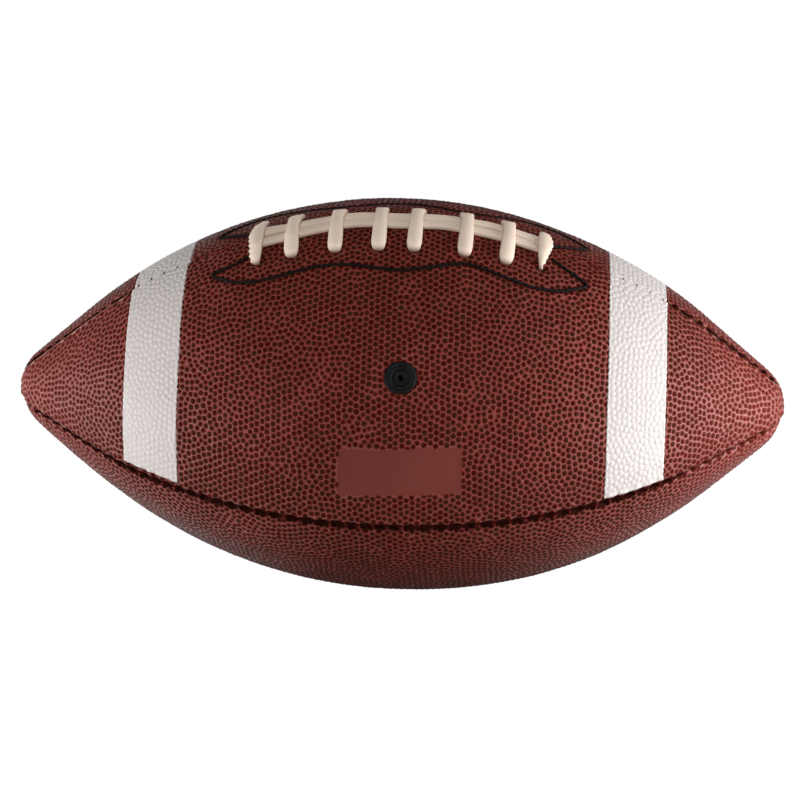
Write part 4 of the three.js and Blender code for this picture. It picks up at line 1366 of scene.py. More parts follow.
    def add_patch(self, sheet: GrainedSheet) -> None:
        """Adds the smooth patch: its outline and a few points inside."""
        if self.patch is None:
            return
        patch, (columns, rows) = self.patch, self.patch_grid
        along = np.linspace(patch.left, patch.right, columns)
        level = np.linspace(patch.low, patch.high, rows)
        right, left = (np.full(rows - 1, end) for end in (patch.right, patch.left))
        low, high = (np.full(columns - 1, edge) for edge in (patch.low, patch.high))
        ring_along = np.concatenate([along[:-1], right, along[:0:-1], left])
        ring_level = np.concatenate([low, level[:-1], high, level[:0:-1]])
        sheet.ring(ring_along, ring_level + patch.creep(ring_along), rise=0.05 * MM, bare=1.0)
        grid_along, grid_level = np.meshgrid(along[1:-1:2], level[1:-1:2])
        sheet.add(grid_along, grid_level + patch.creep(grid_along), rise=0.1 * MM, bare=1.0)

    def add_coarse(self, sheet: GrainedSheet, spacing: float, where: Region | None = None) -> None:
        """Adds widely spaced points, away from the edges and openings."""
        for place in np.arange(-self.form.end + spacing, self.form.end - spacing / 2, spacing):
            reach = float(self.form.radius(place)) * HALF_PANEL - 1.5 * MM
            count = int(2 * reach / spacing)
            if count < 1:
                continue
            offsets = np.linspace(-reach, reach, count + 1)
            angle = self.quarter.middle + offsets / self.form.radius(place)
            along = np.full(len(angle), place)
            free = self.opening_distance(along, angle) > 0.8 * MM
            if where is not None:
                free &= where(along, angle)
            sheet.add(along[free], angle[free])

    def close(
        self, name: str, front: GrainedSheet, back: GrainedSheet, rings: list[Array],
        thickness: float, lift: float, follows_flat: bool,
    ) -> Piece:
        """Joins a grained front to its back by walls along their shared outlines.

        Args:
            name: Name of the piece.
            front: The grained side.
            back: The plain side, with the same outlines as its first points.
            rings: Point numbers of the outlines, the outer one first.
            thickness: Distance between the two sides.
            lift: Extra lift of the front.
            follows_flat: Whether the back is the smooth inside of the cover and not the relief.

        Returns:
            The closed piece.
        """
        front_rows, front_faces, front_numbers = front.join(rings[1:])
        back_rows, back_faces, back_numbers = back.join(rings[1:])
        front_places, back_places = front_rows[:, :2].T, back_rows[:, :2].T
        front_lift = self.relief(*front_places) + lift
        seam = self.seam_distance(*front_places)
        front_lift = front_lift + front_rows[:, 2] * (0.6 + 0.4 * ease(seam, 0.2 * MM, 1.2 * MM))
        if self.stripe is not None and follows_flat:
            depth = self.stripe_depth(*front_places)
            front_lift = front_lift - self.film_sink * ease(depth, 0.05 * MM, 0.5 * MM)
        back_lift = np.full(len(back_rows), -thickness)
        if not follows_flat:
            back_lift = back_lift + self.relief(*back_places) + lift
        points = np.concatenate([
            self.form.points(*front_places, front_lift), self.form.points(*back_places, back_lift)
        ])
        first = len(front_rows)
        faces = [front_faces.tolist(), (back_faces[:, ::-1] + first).tolist()]
        for ring in rings:
            upper, lower = front_numbers[ring], back_numbers[ring] + first
            walls = np.stack([upper, lower, np.roll(lower, -1), np.roll(upper, -1)], axis=-1)
            faces.append(walls.tolist())
        names = ("pebble_top", "crease", "bare", "tint", "shade")
        front_values = np.column_stack([front_rows[:, 3:], self.shade(*front_places)])
        values = np.concatenate([front_values, np.zeros((len(back_rows), len(names)))])
        return mesh_object(name, points, sum(faces, []), dict(zip(names, values.T)))

    def build_stripe(self, side: int) -> Piece:
        """Makes the film of one stripe, pressed over the pebbles.

        Args:
            side: Minus 1 for the left end, 1 for the right end.

        Returns:
            The closed film.
        """
        shift = self.stripe.left_shift if side < 0 else 0.0
        near, far = (side * (self.stripe.start + shift + reach) for reach in (0, self.stripe.width))
        left, right = min(near, far), max(near, far)
        rng = np.random.default_rng(self.film_seed + self.quarter.value + side)
        columns, rows = self.film_grid
        along = np.linspace(left, right, columns)
        lace = self.edge_angle(along, -self.quarter.side, 0.0)
        inset = self.margin(along) / self.form.radius(along)
        outer = self.quarter.middle + self.quarter.side * (HALF_PANEL - inset)
        low, high = (outer, lace) if self.quarter.side < 0 else (lace, outer)
        ends = []
        height, pitch, sway, fray = self.film_wave
        for place, first, second in ((right, low[-1], high[-1]), (left, high[0], low[0])):
            angle = np.linspace(first, second, rows)[1:-1]
            arc = angle * self.form.radius(place)
            wave = height * np.sin(2 * math.pi * arc / pitch + 1.5 * np.sin(arc / sway))
            wave = wave + rng.normal(0, fray, len(angle))
            wave = wave if place == near else self.film_far_share * wave
            ends.append((place + wave, angle))
        outline = (
            np.concatenate([along, ends[0][0], along[::-1], ends[1][0]]),
            np.concatenate([low, ends[0][1], high[::-1], ends[1][1]]),
        )
        front, back = self.sheets()
        rings = [front.ring(*outline, **self.grain_at(*outline))]
        back.ring(*outline)

        def deeper(depth: float) -> Region:
            """Makes a test for places deeper than this inside the stripe."""
            return lambda places, angles: (
                (self.stripe_depth(places, angles) > depth) & (np.sign(places) == side)
            )

        chosen = deeper(-1.0 * MM)(self.cells.along, self.cells.angle)
        self.grain.press(front, self.cells, chosen, deeper(0.2 * MM), self.film_grain)
        self.add_coarse(back, 4 * MM, deeper(1.5 * MM))
        end = "left" if side < 0 else "right"
        name = f"stripe_film_{self.quarter.label.split('_')[1]}_{end}"
        return self.close(name, front, back, rings, self.film_thickness, self.film_lift, False)


@dataclass
class Valve:
    """The inflation valve: a ringed rubber body, and the insert with the needle's hole."""

    form: BallForm
    along: float = 3.4 * MM
    angle: float = math.radians(42.4)
    hole: Sizes = (5.85 * MM, 5.85 * MM, 0.12 * MM, 1.2 * MM)
    sides: int = 64
    body_profile: Curve = (
        (2.15, -15), (4, -15), (4, -8.9), (4.4, -8.3), (10.6, -8.3), (11, -7.9), (11, -7.1),
        (10.6, -6.95), (5.7, -6.4), (5.7, -0.75), (5.62, -0.35), (5.4, -0.08), (5.05, 0.06),
        (4.7, 0.08), (4.42, 0.0), (4.3, -0.2), (4.18, -0.22), (4.06, -0.02), (3.8, 0.1), (3.4, 0.12),
        (3.1, 0.02), (2.96, -0.2), (2.95, -2.55), (2.15, -2.55),
    )
    insert_profile: Curve = (
        (1.5, -16), (2, -15.5), (2, -2.4), (2.8, -2.4), (2.8, -0.3), (2.66, -0.06), (2.35, 0.04),
        (1.9, 0.0), (1.6, -0.08), (1.35, -0.06), (1.1, -0.14), (0.92, -0.4), (0.9, -10), (0.05, -10.9),
    )

    def opening(self) -> Opening:
        """Gives the hole in the cover around the valve."""
        return Opening(self.along, self.angle, *self.hole, points=44)

    def seat(self) -> Matrix:
        """Gives the matrix from the valve's own upright frame to its place in the ball."""
        outward = Vector(self.form.directions(self.along, self.angle)[2].tolist())
        turn = Vector((0, 0, 1)).rotation_difference(outward).to_matrix().to_4x4()
        spot = Vector(self.form.points(self.along, self.angle, 0.0).tolist())
        return Matrix.Translation(spot) @ turn

    def turned(self, name: str, profile: Curve, closed: bool) -> Piece:
        """Turns a profile into a round piece: a circle, extruded and scaled ring by ring.

        Args:
            name: Name of the piece.
            profile: Radii and heights in millimetres, from the inner end outward and up.
            closed: Whether the last ring joins the first one; otherwise both ends are filled.

        Returns:
            The piece, in its place in the ball.
        """
        bpy.ops.object.select_all(action="DESELECT")
        radius, height = profile[0][0] * MM, profile[0][1] * MM
        bpy.ops.mesh.primitive_circle_add(vertices=self.sides, radius=radius, location=(0, 0, height))
        piece = bpy.context.object
        piece.name = piece.data.name = name
        bpy.ops.object.transform_apply(location=True)
        bpy.ops.object.mode_set(mode="EDIT")
        bpy.ops.mesh.select_all(action="SELECT")
        if not closed:
            bpy.ops.mesh.edge_face_add()
            bpy.ops.mesh.select_all(action="SELECT")
        for next_radius, next_height in profile[1:]:
            next_radius, next_height = next_radius * MM, next_height * MM
            move = {"value": (0, 0, next_height - height)}
            if closed:
                bpy.ops.mesh.extrude_edges_move(TRANSFORM_OT_translate=move)
            else:
                bpy.ops.mesh.extrude_region_move(TRANSFORM_OT_translate=move)
            grow = next_radius / radius
            bpy.ops.transform.resize(value=(grow, grow, 1), center_override=(0, 0, next_height))
            radius, height = next_radius, next_height
        if closed:
            bpy.ops.mesh.select_all(action="DESELECT")
            bpy.ops.mesh.select_non_manifold(extend=False)
            bpy.ops.mesh.bridge_edge_loops()
        bpy.ops.mesh.select_all(action="SELECT")
        bpy.ops.mesh.remove_doubles(threshold=1e-6)
        bpy.ops.mesh.normals_make_consistent(inside=False)
        bpy.ops.object.mode_set(mode="OBJECT")
        piece.data.transform(self.seat())
        bpy.ops.object.select_all(action="DESELECT")
        piece.select_set(True)
        bpy.context.view_layer.objects.active = piece
        bpy.ops.object.shade_smooth_by_angle(angle=math.radians(50))
        return piece

    def build(self) -> tuple[Piece, Piece]:
        """Makes the body and the insert."""
        body = self.turned("valve_ring", self.body_profile, True)
        insert = self.turned("valve_plug", self.insert_profile, False)
        return body, insert


class NodeBoard:
    """Places and links the nodes of one material or group."""

    def __init__(self, tree: bpy.types.NodeTree) -> None:
        """Takes an empty node tree."""
        self.tree = tree

    @classmethod
    def blank(cls, owner: bpy.types.Material | bpy.types.World) -> "NodeBoard":
        """Starts the board of a material or world, without the nodes that it comes with."""
        owner.use_nodes = True
        owner.node_tree.nodes.clear()
        return cls(owner.node_tree)

    def add(
        self, kind: str, inputs: dict[str | int, object] | None = None, **settings: object
    ) -> bpy.types.Node:
        """Adds a node.

        Args:
            kind: The node's type.
            inputs: Values or output sockets for its inputs.
            **settings: Values for its properties.

        Returns:
            The new node.
        """
        node = self.tree.nodes.new(kind)
        for key, value in settings.items():
            setattr(node, key, value)
        for key, value in (inputs or {}).items():
            if isinstance(value, Socket):
                self.tree.links.new(value, node.inputs[key])
            else:
                node.inputs[key].default_value = value
        return node

    def mix(self, share: object, first: object, second: object, blend: str = "MIX") -> Socket:
        """Mixes two colours and returns the result's socket."""
        inputs = {0: share, 6: first, 7: second}
        return self.add("ShaderNodeMix", inputs, data_type="RGBA", blend_type=blend).outputs[2]

    def math(self, operation: str, first: object, second: object = 0.0) -> Socket:
        """Calculates with one or two values and returns the result's socket."""
        return self.add("ShaderNodeMath", {0: first, 1: second}, operation=operation).outputs[0]

    def range(
        self, value: object, low: float, high: float, start: object, stop: object
    ) -> Socket:
        """Maps a value from one range to another and returns the result's socket."""
        inputs = {0: value, 1: low, 2: high, 3: start, 4: stop}
        return self.add("ShaderNodeMapRange", inputs).outputs[0]

    def attribute(self, name: str) -> Socket:
        """Reads a value that the mesh carries."""
        return self.add("ShaderNodeAttribute", attribute_name=name).outputs["Fac"]

    def graded(self, name: str, low: float, high: float, start: float, stop: float) -> Socket:
        """Maps a value that the mesh carries from one range to another."""
        return self.range(self.attribute(name), low, high, start, stop)

    def place(self) -> Socket:
        """Gives the place in the piece's own frame."""
        return self.add("ShaderNodeTexCoord").outputs["Object"]

    def sideways(self) -> Socket:
        """Gives the place along the X axis."""
        return self.add("ShaderNodeSeparateXYZ", {0: self.place()}).outputs[0]

    def noise(self, scale: object, detail: float, roughness: float = 0.5) -> Socket:
        """Clouds the piece and returns the clouds' socket."""
        inputs = {"Vector": self.place(), "Scale": scale, "Detail": detail, "Roughness": roughness}
        return self.add("ShaderNodeTexNoise", inputs).outputs["Fac"]

    def wave(self, scale: float, distortion: float, way: str) -> Socket:
        """Bands the piece across a direction and returns the bands' socket."""
        inputs = {"Vector": self.place(), "Scale": scale, "Distortion": distortion}
        return self.add("ShaderNodeTexWave", inputs, bands_direction=way).outputs["Fac"]


def new_group(
    name: str, inputs: dict[str, object], outputs: Sequence[str]
) -> tuple[NodeBoard, bpy.types.bpy_prop_collection]:
    """Starts a shader node group; a socket named Colour takes a colour, any other one a number.

    Args:
        name: Name of the group.
        inputs: Default of each input.
        outputs: Names of the outputs.

    Returns:
        The group's board, and the sockets of its inputs.
    """
    group = bpy.data.node_groups.new(name, "ShaderNodeTree")
    kinds = {"Colour": "NodeSocketColor"}
    for key, value in inputs.items():
        kind = kinds.get(key, "NodeSocketFloat")
        group.interface.new_socket(key, in_out="INPUT", socket_type=kind).default_value = value
    for key in outputs:
        kind = kinds.get(key, "NodeSocketFloat")
        group.interface.new_socket(key, in_out="OUTPUT", socket_type=kind)
    board = NodeBoard(group)
    return board, board.add("NodeGroupInput").outputs


class SurfaceGroups:
    """The effects that several finishes share."""

    def __init__(self) -> None:
        """Builds the groups once."""
        self.grain = self.build_grain()
        self.tone = self.build_tone()

    def build_grain(self) -> bpy.types.NodeTree:
        """Builds the fine grain: pores and tiny wrinkles, as a height and a share of shine."""
        defaults = {"Scale": 3000.0, "Rough Low": 0.4, "Rough High": 0.6}
        board, given = new_group("fine_grain", defaults, ("Height", "Roughness"))
        fine = board.noise(given["Scale"], 3.0, 0.6)
        broad = board.noise(90.0, 2.0)
        both = board.math("ADD", board.math("MULTIPLY", fine, 0.6), board.math("MULTIPLY", broad, 0.4))
        spread = board.range(both, 0.35, 0.65, given["Rough Low"], given["Rough High"])
        board.add("NodeGroupOutput", {"Height": fine, "Roughness": spread})
        return board.tree

    def build_tone(self) -> bpy.types.NodeTree:
        """Builds the slow change of tone over a surface: a colour in, the uneven colour out."""
        defaults = {"Colour": (1, 1, 1, 1), "Scale": 40.0, "Amount": 0.15}
        board, given = new_group("uneven_tone", defaults, ("Colour",))
        cloud = board.range(board.noise(given["Scale"], 4.0, 0.55), 0.25, 0.75, -1.0, 1.0)
        level = board.math("ADD", board.math("MULTIPLY", cloud, given["Amount"]), 1.0)
        spread = board.add("ShaderNodeCombineColor", {0: level, 1: level, 2: level}).outputs[0]
        board.add("NodeGroupOutput", {"Colour": board.mix(1.0, given["Colour"], spread, "MULTIPLY")})
        return board.tree


@dataclass(frozen=True)
class Finish:
    """What every finish has: its name, its range of roughness, and its shine.

    Its fine grain has a scale and a depth, and its uneven tone a scale and an amount.
    """

    name: str
    rough: Pair = (0.4, 0.6)
    grain: Pair = (3000.0, 0.04 * MM)
    tone: Pair = (40.0, 0.12)
    specular: float = 0.5

    def base(self, board: NodeBoard) -> object:
        """Gives the base colour, as a socket; each finish has its own."""
        raise NotImplementedError

    def shine(self, board: NodeBoard) -> object:
        """Gives the strength of the shine, the same everywhere unless the finish says otherwise."""
        return self.specular

    def roughness(self, board: NodeBoard, fine: Socket) -> Socket:
        """Gives the roughness; a finish with smoother or duller places changes it there."""
        return fine

    def material(self, groups: SurfaceGroups) -> bpy.types.Material:
        """Builds the finish's material.

        Args:
            groups: The shared effects.

        Returns:
            The new material.
        """
        made = bpy.data.materials.new(self.name)
        board = NodeBoard.blank(made)
        (low, high), (scale, depth), (tone_scale, amount) = self.rough, self.grain, self.tone
        inputs = {"Scale": scale, "Rough Low": low, "Rough High": high}
        fine = board.add("ShaderNodeGroup", inputs, node_tree=groups.grain)
        inputs = {"Colour": self.base(board), "Scale": tone_scale, "Amount": amount}
        tone = board.add("ShaderNodeGroup", inputs, node_tree=groups.tone)
        inputs = {"Strength": 1.0, "Distance": depth, "Height": fine.outputs["Height"]}
        bump = board.add("ShaderNodeBump", inputs)
        shader = board.add(
            "ShaderNodeBsdfPrincipled",
            {
                "Base Color": tone.outputs["Colour"],
                "Roughness": self.roughness(board, fine.outputs["Roughness"]),
                "Specular IOR Level": self.shine(board),
                "Normal": bump.outputs["Normal"],
            },
        )
        board.add("ShaderNodeOutputMaterial", {"Surface": shader.outputs[0]})
        return made


@dataclass(frozen=True)
class PebbledLeather(Finish):
    """Two-tone leather: dark pebble tops on a redder net with pale creases, with painted light that
    pales the tops toward the ends, a painted highlight on the left end's crest and painted shade in
    open seams.
    """

    top: Tone = colour(58, 14, 8)
    top_brown: Tone = colour(50, 26, 13)
    net: Tone = colour(119, 42, 36)
    crease: Tone = colour(124, 84, 75)
    bare: Tone = colour(107, 51, 44)
    # Painted shade of open seams and beside the stitching.
    groove: Tone = colour(24, 8, 6)
    # Painted highlight along the left end's crest.
    worn: Tone = colour(194, 144, 126)
    crease_share: float = 0.75
    groove_share: float = 0.95
    # Painted light: the pebble tops turn paler toward the brightly lit ends.
    rubbed_share: float = 0.6
    rubbed_range: Pair = (90 * MM, 140 * MM)
    bare_dullness: float = 0.5
    rim_gloss: float = 0.8

    def base(self, board: NodeBoard) -> Socket:
        """Mixes the tones by what the mesh says of each place."""
        toward_end = board.math("ABSOLUTE", board.sideways())
        # Painted light: less of the dark top colour toward the ends.
        end_light = board.range(toward_end, *self.rubbed_range, 1.0, self.rubbed_share)
        top = board.math("MULTIPLY", board.graded("pebble_top", 0.13, 0.7, 0.0, 1.0), end_light)
        mixed = board.mix(top, self.net, board.mix(board.attribute("tint"), self.top, self.top_brown))
        crease = board.graded("crease", 0.5, 0.95, 0.0, self.crease_share)
        # Crease values above 1 mark the crest row, which gets the painted highlight.
        worn = board.graded("crease", 1.1, 1.8, 0.0, 1.0)
        creased = board.mix(worn, board.mix(crease, mixed, self.crease), self.worn)
        toned = board.mix(board.attribute("bare"), creased, self.bare)
        # Painted shade: open seams and the stitching's groove are darkened toward this colour.
        return board.mix(board.graded("shade", 0.0, 0.8, 0.0, self.groove_share), toned, self.groove)

    def roughness(self, board: NodeBoard, fine: Socket) -> Socket:
        """Makes the smooth patch dull."""
        return board.math("ADD", fine, board.graded("bare", 0.0, 1.0, 0.0, self.bare_dullness))

    def shine(self, board: NodeBoard) -> Socket:
        """Lets the net, its creases and grazing surfaces shine, and the tops and dark seams less."""
        net = board.graded("pebble_top", 0.1, 0.8, 0.4, 0.06)
        crease = board.graded("crease", 0.3, 0.9, 1.0, 2.0)
        dark = board.graded("shade", 0.0, 0.5, self.specular, 0.02)
        even = board.math("MULTIPLY", board.math("MULTIPLY", net, crease), dark)
        facing = board.add("ShaderNodeLayerWeight", {"Blend": 0.5}).outputs["Facing"]
        grazing = board.math("MULTIPLY", board.range(facing, 0.6, 0.95, 0.0, self.rim_gloss), dark)
        return board.math("ADD", even, grazing)


@dataclass(frozen=True)
class StripeFilm(Finish):
    """White film pressed over the pebbles, with painted shade that greys its creases."""

    white: Tone = colour(190, 183, 180)
    # Painted shade of the creases between the pebbles.
    crease: Tone = colour(173, 165, 163)

    def base(self, board: NodeBoard) -> Socket:
        """Greys the creases as painted shade between the pebbles."""
        return board.mix(board.graded("crease", 0.1, 0.9, 0.0, 0.8), self.white, self.crease)


@dataclass(frozen=True)
class LaceCoat(Finish):
    """Cream coated lace, with painted shade on its rounded edges and on its ends where they go into the
    holes.
    """

    cream: Tone = colour(227, 207, 189)
    shade: Tone = colour(196, 171, 150)
    # Painted shade where the ends go into the holes.
    tucked: Tone = colour(120, 84, 68)

    def base(self, board: NodeBoard) -> Socket:
        """Paints shade on the edges, and more on the ends that go into the holes."""
        edged = board.mix(board.graded("edge", 0.8, 1.0, 0.0, 0.6), self.cream, self.shade)
        return board.mix(board.graded("deep", 0.0, 1.0, 0.0, 0.9), edged, self.tucked)


@dataclass(frozen=True)
class Thread(Finish):
    """Waxed thread with a fine twist."""

    dark: Tone = colour(14, 11, 11)
    light: Tone = colour(30, 25, 25)
    twist_scale: float = 900.0

    def base(self, board: NodeBoard) -> Socket:
        """Runs fine lighter fibres through the thread."""
        twist = board.wave(self.twist_scale, 4.0, "DIAGONAL")
        return board.mix(board.range(twist, 0.4, 1.0, 0.0, 1.0), self.dark, self.light)


@dataclass(frozen=True)
class Rubber(Finish):
    """Moulded rubber, with a faint bloom."""

    dark: Tone = colour(15, 15, 17)
    bloom: Tone = colour(34, 34, 37)
    bloom_scale: float = 400.0

    def base(self, board: NodeBoard) -> Socket:
        """Clouds the rubber a little."""
        cloud = board.noise(self.bloom_scale, 4.0)
        return board.mix(board.range(cloud, 0.5, 0.8, 0.0, 1.0), self.dark, self.bloom)


@dataclass(frozen=True)
class WovenCloth(Finish):
    """Plain woven cloth of the layers behind the cover."""

    warp: Tone = colour(196, 184, 160)
    weft: Tone = colour(168, 156, 134)
    thread_scale: float = 260.0

    def base(self, board: NodeBoard) -> Socket:
        """Crosses two sets of threads."""
        across, upright = (board.wave(self.thread_scale, 0.4, way) for way in ("X", "Z"))
        return board.mix(board.math("MULTIPLY", across, upright), self.weft, self.warp)


@dataclass(frozen=True)
class Lamp:
    """A soft square lamp that faces the ball; without shine, it doesn't show in reflections."""

    name: str
    place: tuple[float, float, float]
    size: float
    power: float
    shine: bool = True

    def build(self) -> None:
        """Adds the lamp."""
        data = bpy.data.lights.new(self.name, "AREA")
        data.size = self.size
        data.energy = self.power
        lamp = bpy.data.objects.new(self.name, data)
        lamp.location = self.place
        lamp.visible_glossy = self.shine
        lamp.rotation_euler = (-Vector(self.place)).to_track_quat("-Z", "Y").to_euler()
        bpy.context.scene.collection.objects.link(lamp)


@dataclass
class Studio:
    """Camera, floor, background, and lamps at both sides, above the camera and weakly behind."""

    azimuth: float = math.radians(3.66)
    elevation: float = math.radians(37.30)
    roll: float = math.radians(-0.52)
    distance: float = 1.0
    field_width: float = 0.2938
    aim_right: float = -0.18 * MM
    aim_up: float = -1.39 * MM
    sensor: float = 36.0
    floor_height: float = -75.0 * MM
    floor_size: float = 6.0
    soft_light: float = 0.03
    seen_share: float = 0.97
    floor_white: float = 1.03
    # Painted shadow colour of the floor under the ball.
    floor_grey: Tone = (0.2, 0.2, 0.2, 1)
    floor_pale: Tone = (0.9, 0.9, 0.9, 1)
    lamps: tuple[Lamp, ...] = (
        Lamp("lamp_right_near", (0.36, -0.02, 0.06), size=0.25, power=0.92),
        Lamp("lamp_right_low", (0.55, -0.2, 0.1), size=0.4, power=0.6),
        Lamp("lamp_right_high", (0.5, 0.1, 0.28), size=0.4, power=0.7),
        Lamp("lamp_right_under", (0.45, -0.14, -0.05), size=0.3, power=1.8),
        Lamp("lamp_left_low", (-0.45, -0.14, -0.05), size=0.3, power=2.75),
        Lamp("lamp_left_back", (-0.5, 0.3, 0.2), size=0.4, power=0.4),
        Lamp("lamp_front", (0.0, -0.8, 0.9), size=0.7, power=8.6, shine=False),
        Lamp("lamp_back", (0.0, 0.8, 0.1), size=0.5, power=3.2, shine=False),
    )

    def camera(self) -> None:
        """Sets up the camera at the photograph's viewing angle."""
        toward = Vector((
            math.sin(self.azimuth) * math.cos(self.elevation),
            -math.cos(self.azimuth) * math.cos(self.elevation),
            math.sin(self.elevation),
        ))
        right = Vector((math.cos(self.azimuth), math.sin(self.azimuth), 0))
        up = toward.cross(right)
        aim = right * self.aim_right + up * self.aim_up
        data = bpy.data.cameras.new("camera")
        data.sensor_width = self.sensor
        data.lens = self.sensor * self.distance / self.field_width
        camera = bpy.data.objects.new("camera", data)
        turn = Matrix((right, up, toward)).transposed() @ Matrix.Rotation(self.roll, 3, "Z")
        camera.matrix_world = Matrix.Translation(aim + toward * self.distance) @ turn.to_4x4()
        bpy.context.scene.collection.objects.link(camera)
        bpy.context.scene.camera = camera

    def world(self) -> None:
        """Makes the background white to the camera and a soft grey light to the ball."""
        world = bpy.data.worlds.new("studio")
        board = NodeBoard.blank(world)
        seen = board.add("ShaderNodeLightPath").outputs["Is Camera Ray"]
        soft, white = (
            board.add("ShaderNodeBackground", {"Color": WHITE, "Strength": strength}).outputs[0]
            for strength in (self.soft_light, 1.0)
        )
        both = board.add("ShaderNodeMixShader", {0: seen, 1: soft, 2: white})
        board.add("ShaderNodeOutputWorld", {"Surface": both.outputs[0]})
        bpy.context.scene.world = world

    def floor(self) -> None:
        """Adds the pale floor, white to the camera, with a faint shadow, a painted shadow in its colour
        under the ball and a painted reflection light at its sides.
        """
        bpy.ops.object.select_all(action="DESELECT")
        bpy.ops.mesh.primitive_plane_add(size=self.floor_size, location=(0, 0, self.floor_height))
        floor = bpy.context.object
        floor.name = "floor"
        made = bpy.data.materials.new("floor_white")
        board = NodeBoard.blank(made)
        path = board.add("ShaderNodeLightPath").outputs
        across = board.sideways()
        # Painted reflection: to glossy rays the floor's sides give off white light, which the ball's
        # lower rims mirror.
        reflection_glow_left = board.range(across, -0.1, -0.03, 1.0, 0.0)
        reflection_glow_right = board.range(across, 0.03, 0.17, 0.0, 0.9)
        reflection_glow = board.math("MAXIMUM", reflection_glow_left, reflection_glow_right)
        glossy_glow = board.math("MULTIPLY", path["Is Glossy Ray"], reflection_glow)
        seen = board.math("MULTIPLY", path["Is Camera Ray"], self.seen_share)
        seen = board.math("MAXIMUM", seen, glossy_glow)
        # Painted shadow: the floor's diffuse colour is grey under the ball and pale to the sides, so
        # less light bounces up under its middle.
        away = board.range(board.math("ABSOLUTE", across), 0.06, 0.2, 0.0, 1.0)
        pale = board.mix(away, self.floor_grey, self.floor_pale)
        matt = board.add("ShaderNodeBsdfDiffuse", {"Color": pale})
        white = board.add("ShaderNodeEmission", {"Color": WHITE, "Strength": self.floor_white})
        both = board.add("ShaderNodeMixShader", {0: seen, 1: matt.outputs[0], 2: white.outputs[0]})
        board.add("ShaderNodeOutputMaterial", {"Surface": both.outputs[0]})
        floor.data.materials.append(made)

    def build(self) -> None:
        """Sets up everything around the ball."""
        self.camera()
        for lamp in self.lamps:
            lamp.build()
        self.world()
        self.floor()
        bpy.context.scene.view_settings.view_transform = "Standard"


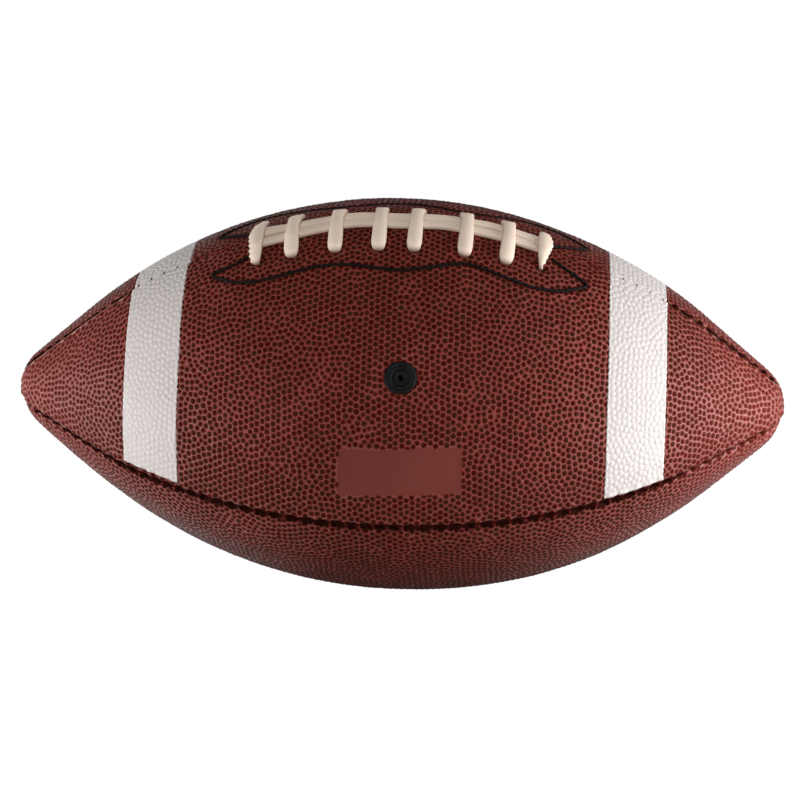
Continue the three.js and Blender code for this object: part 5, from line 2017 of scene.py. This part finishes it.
class Football:
    """The whole ball: builds each sub-assembly, dresses it and fixes it to its body."""

    fullness: dict[Quarter, Curve] = {
        Quarter.LACE_REAR: (
            (-124, -0.35), (-106, -0.4), (-88, 0.1), (-51, 0.4), (-33, 0.7), (-15, 1.05), (4, 0.85),
            (22, 0.65), (40, 0.4), (58, -0.2), (77, -0.4), (113, -0.1),
        ),
        Quarter.LOWER_FRONT: (
            (-130, 0), (-110, -0.8), (-88, -1.05), (-50, -0.8), (0, -0.65), (22, -0.2), (50, 0.25),
            (77, 0.4), (100, 0.1),
        ),
    }
    slit: float = 57.1 * MM
    sewn_past_cone: float = 6 * MM
    left_run_shorter: float = 3.5 * MM
    shown_lift: float = -0.1 * MM

    def __init__(self) -> None:
        """Prepares the outline, the shared effects and the finishes."""
        self.form = BallForm()
        self.lacing = Lacing(self.form)
        self.valve = Valve(self.form)
        self.stitching = {side: EdgeStitching(self.form, side) for side in (-1, 1)}
        self.stitch = Stitch()
        groups = SurfaceGroups()
        self.leather = PebbledLeather(
            "pebbled_leather", (0.36, 0.48), (3200.0, 0.03 * MM), (26.0, 0.14), specular=0.4
        ).material(groups)
        self.film = StripeFilm(
            "stripe_film", (0.42, 0.6), (2600.0, 0.02 * MM), (30.0, 0.03), specular=0.28
        ).material(groups)
        self.coat = LaceCoat(
            "lace_coat", (0.45, 0.65), (2200.0, 0.04 * MM), (60.0, 0.06), specular=0.3
        ).material(groups)
        self.thread = Thread(
            "black_thread", (0.7, 0.9), (4000.0, 0.05 * MM), specular=0.15
        ).material(groups)
        self.rubber = Rubber(
            "valve_rubber", (0.45, 0.65), (3000.0, 0.02 * MM), specular=0.25
        ).material(groups)
        self.bladder = Rubber(
            "bladder_rubber", (0.5, 0.7), (900.0, 0.05 * MM),
            dark=colour(42, 39, 38), bloom=colour(52, 48, 48),
        ).material(groups)
        self.cloth = WovenCloth(
            "lining_cloth", (0.8, 0.95), (1500.0, 0.08 * MM)
        ).material(groups)

    def place(
        self, piece: Piece, finish: bpy.types.Material, body: str, slot: str, *nodes: str
    ) -> None:
        """Dresses a piece, fixes it to a body, and lets it stand for CAD nodes.

        Args:
            piece: The piece.
            finish: Its material.
            body: The body that it moves with.
            slot: Not used.
            *nodes: The CAD nodes that it replaces.
        """
        piece.data.materials.clear()
        piece.data.materials.append(finish)
        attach(piece, body)
        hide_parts(*nodes)
        log.info("%s: %d faces, for %s", piece.name, len(piece.data.polygons), ", ".join(nodes))

    def dress_nodes(self) -> None:
        """Gives the CAD nodes that stay their finishes."""
        for name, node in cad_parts.items():
            if name == "bladder":
                finish = self.bladder
            elif name.startswith(("lining", "lace_")):
                finish = self.cloth
            else:
                continue
            node.data.materials.clear()
            node.data.materials.append(finish)
            log.info("%s keeps its solid", name)

    def panel(self, quarter: Quarter) -> CoverPanel:
        """Plans one panel: a lower one with open seams, or a lace panel with holes and stripes.

        Args:
            quarter: Which of the four panels.

        Returns:
            The panel, ready to build.
        """
        grain, full = PebbleGrain(self.form), self.fullness.get(quarter, CoverPanel.fullness)
        if not quarter.side:
            return CoverPanel(
                self.form, quarter, grain, fullness=full, open_gap=1.0 * MM, recess=0.8 * MM,
                shade_reach=1.9 * MM,
            )
        panel = CoverPanel(
            self.form, quarter, grain, self.lacing.openings(quarter.side),
            self.stitching[quarter.side], Stripe(), fullness=full,
        )
        if quarter is Quarter.LACE_FRONT:
            panel.openings.append(self.valve.opening())
            panel.patch = SmoothPatch()
            panel.stripe.left_shift = 0.8 * MM
            panel.roll_width, panel.lip, panel.crest = 1.2 * MM, 0.3 * MM, 1.0 * MM
            panel.film_margins = (2.3 * MM, 1.5 * MM)
        else:
            panel.nose_shade = 1.9 * MM
        return panel

    def build_cover(self) -> None:
        """Makes the four panels, and the stripes of the two lace panels."""
        for quarter in Quarter:
            panel = self.panel(quarter)
            self.place(panel.build(), self.leather, BALL_BODY, "cover", f"panel_{quarter.label}")
            if quarter.side:
                label = quarter.label.split("_")[1]
                for side, end in ((-1, "left"), (1, "right")):
                    film = panel.build_stripe(side)
                    self.place(film, self.film, BALL_BODY, "stripe", f"stripe_{label}_{end}")

    def build_sewing(self) -> None:
        """Makes the stitches in the seams and around the lacing."""
        end = self.form.nose_start + self.sewn_past_cone
        left_end = -end + self.left_run_shorter
        hidden, shown = SeamSewing.hidden_lift, self.shown_lift
        runs = (
            ("front", 0.0, -end, end, hidden),
            ("rear", math.pi, -end, end, hidden),
            ("bottom", 1.5 * math.pi, -end, end, hidden),
            ("lace_left", LACE_SEAM, left_end, -self.slit, shown),
            ("lace_right", LACE_SEAM, self.slit, end, shown),
        )
        for label, angle, start, stop, bar_lift in runs:
            sewing = SeamSewing(self.form, label, angle, start, stop, bar_lift)
            run = sewing.build(self.stitch)
            self.place(run, self.thread, BALL_BODY, "thread", f"seam_thread_{label}")
        for side, label in ((-1, "front"), (1, "rear")):
            line = self.stitching[side].build(self.stitch)
            self.place(line, self.thread, BALL_BODY, "thread", f"reinforcement_stitching_{label}")

    def build(self) -> None:
        """Builds the ball's visible pieces in order."""
        self.dress_nodes()
        self.build_cover()
        self.build_sewing()
        self.place(self.lacing.build(), self.coat, BALL_BODY, "lace", "lace")
        body, insert = self.valve.build()
        self.place(body, self.rubber, BALL_BODY, "valve_rubber", "valve_body")
        self.place(insert, self.rubber, INSERT_BODY, "valve_insert_rubber", "valve_insert")


def main() -> None:
    """Builds the studio and the ball."""
    logging.basicConfig(level=logging.INFO, format="%(name)s: %(message)s")
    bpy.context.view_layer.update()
    Studio().build()
    Football().build()


if __name__ == "__main__":
    main()
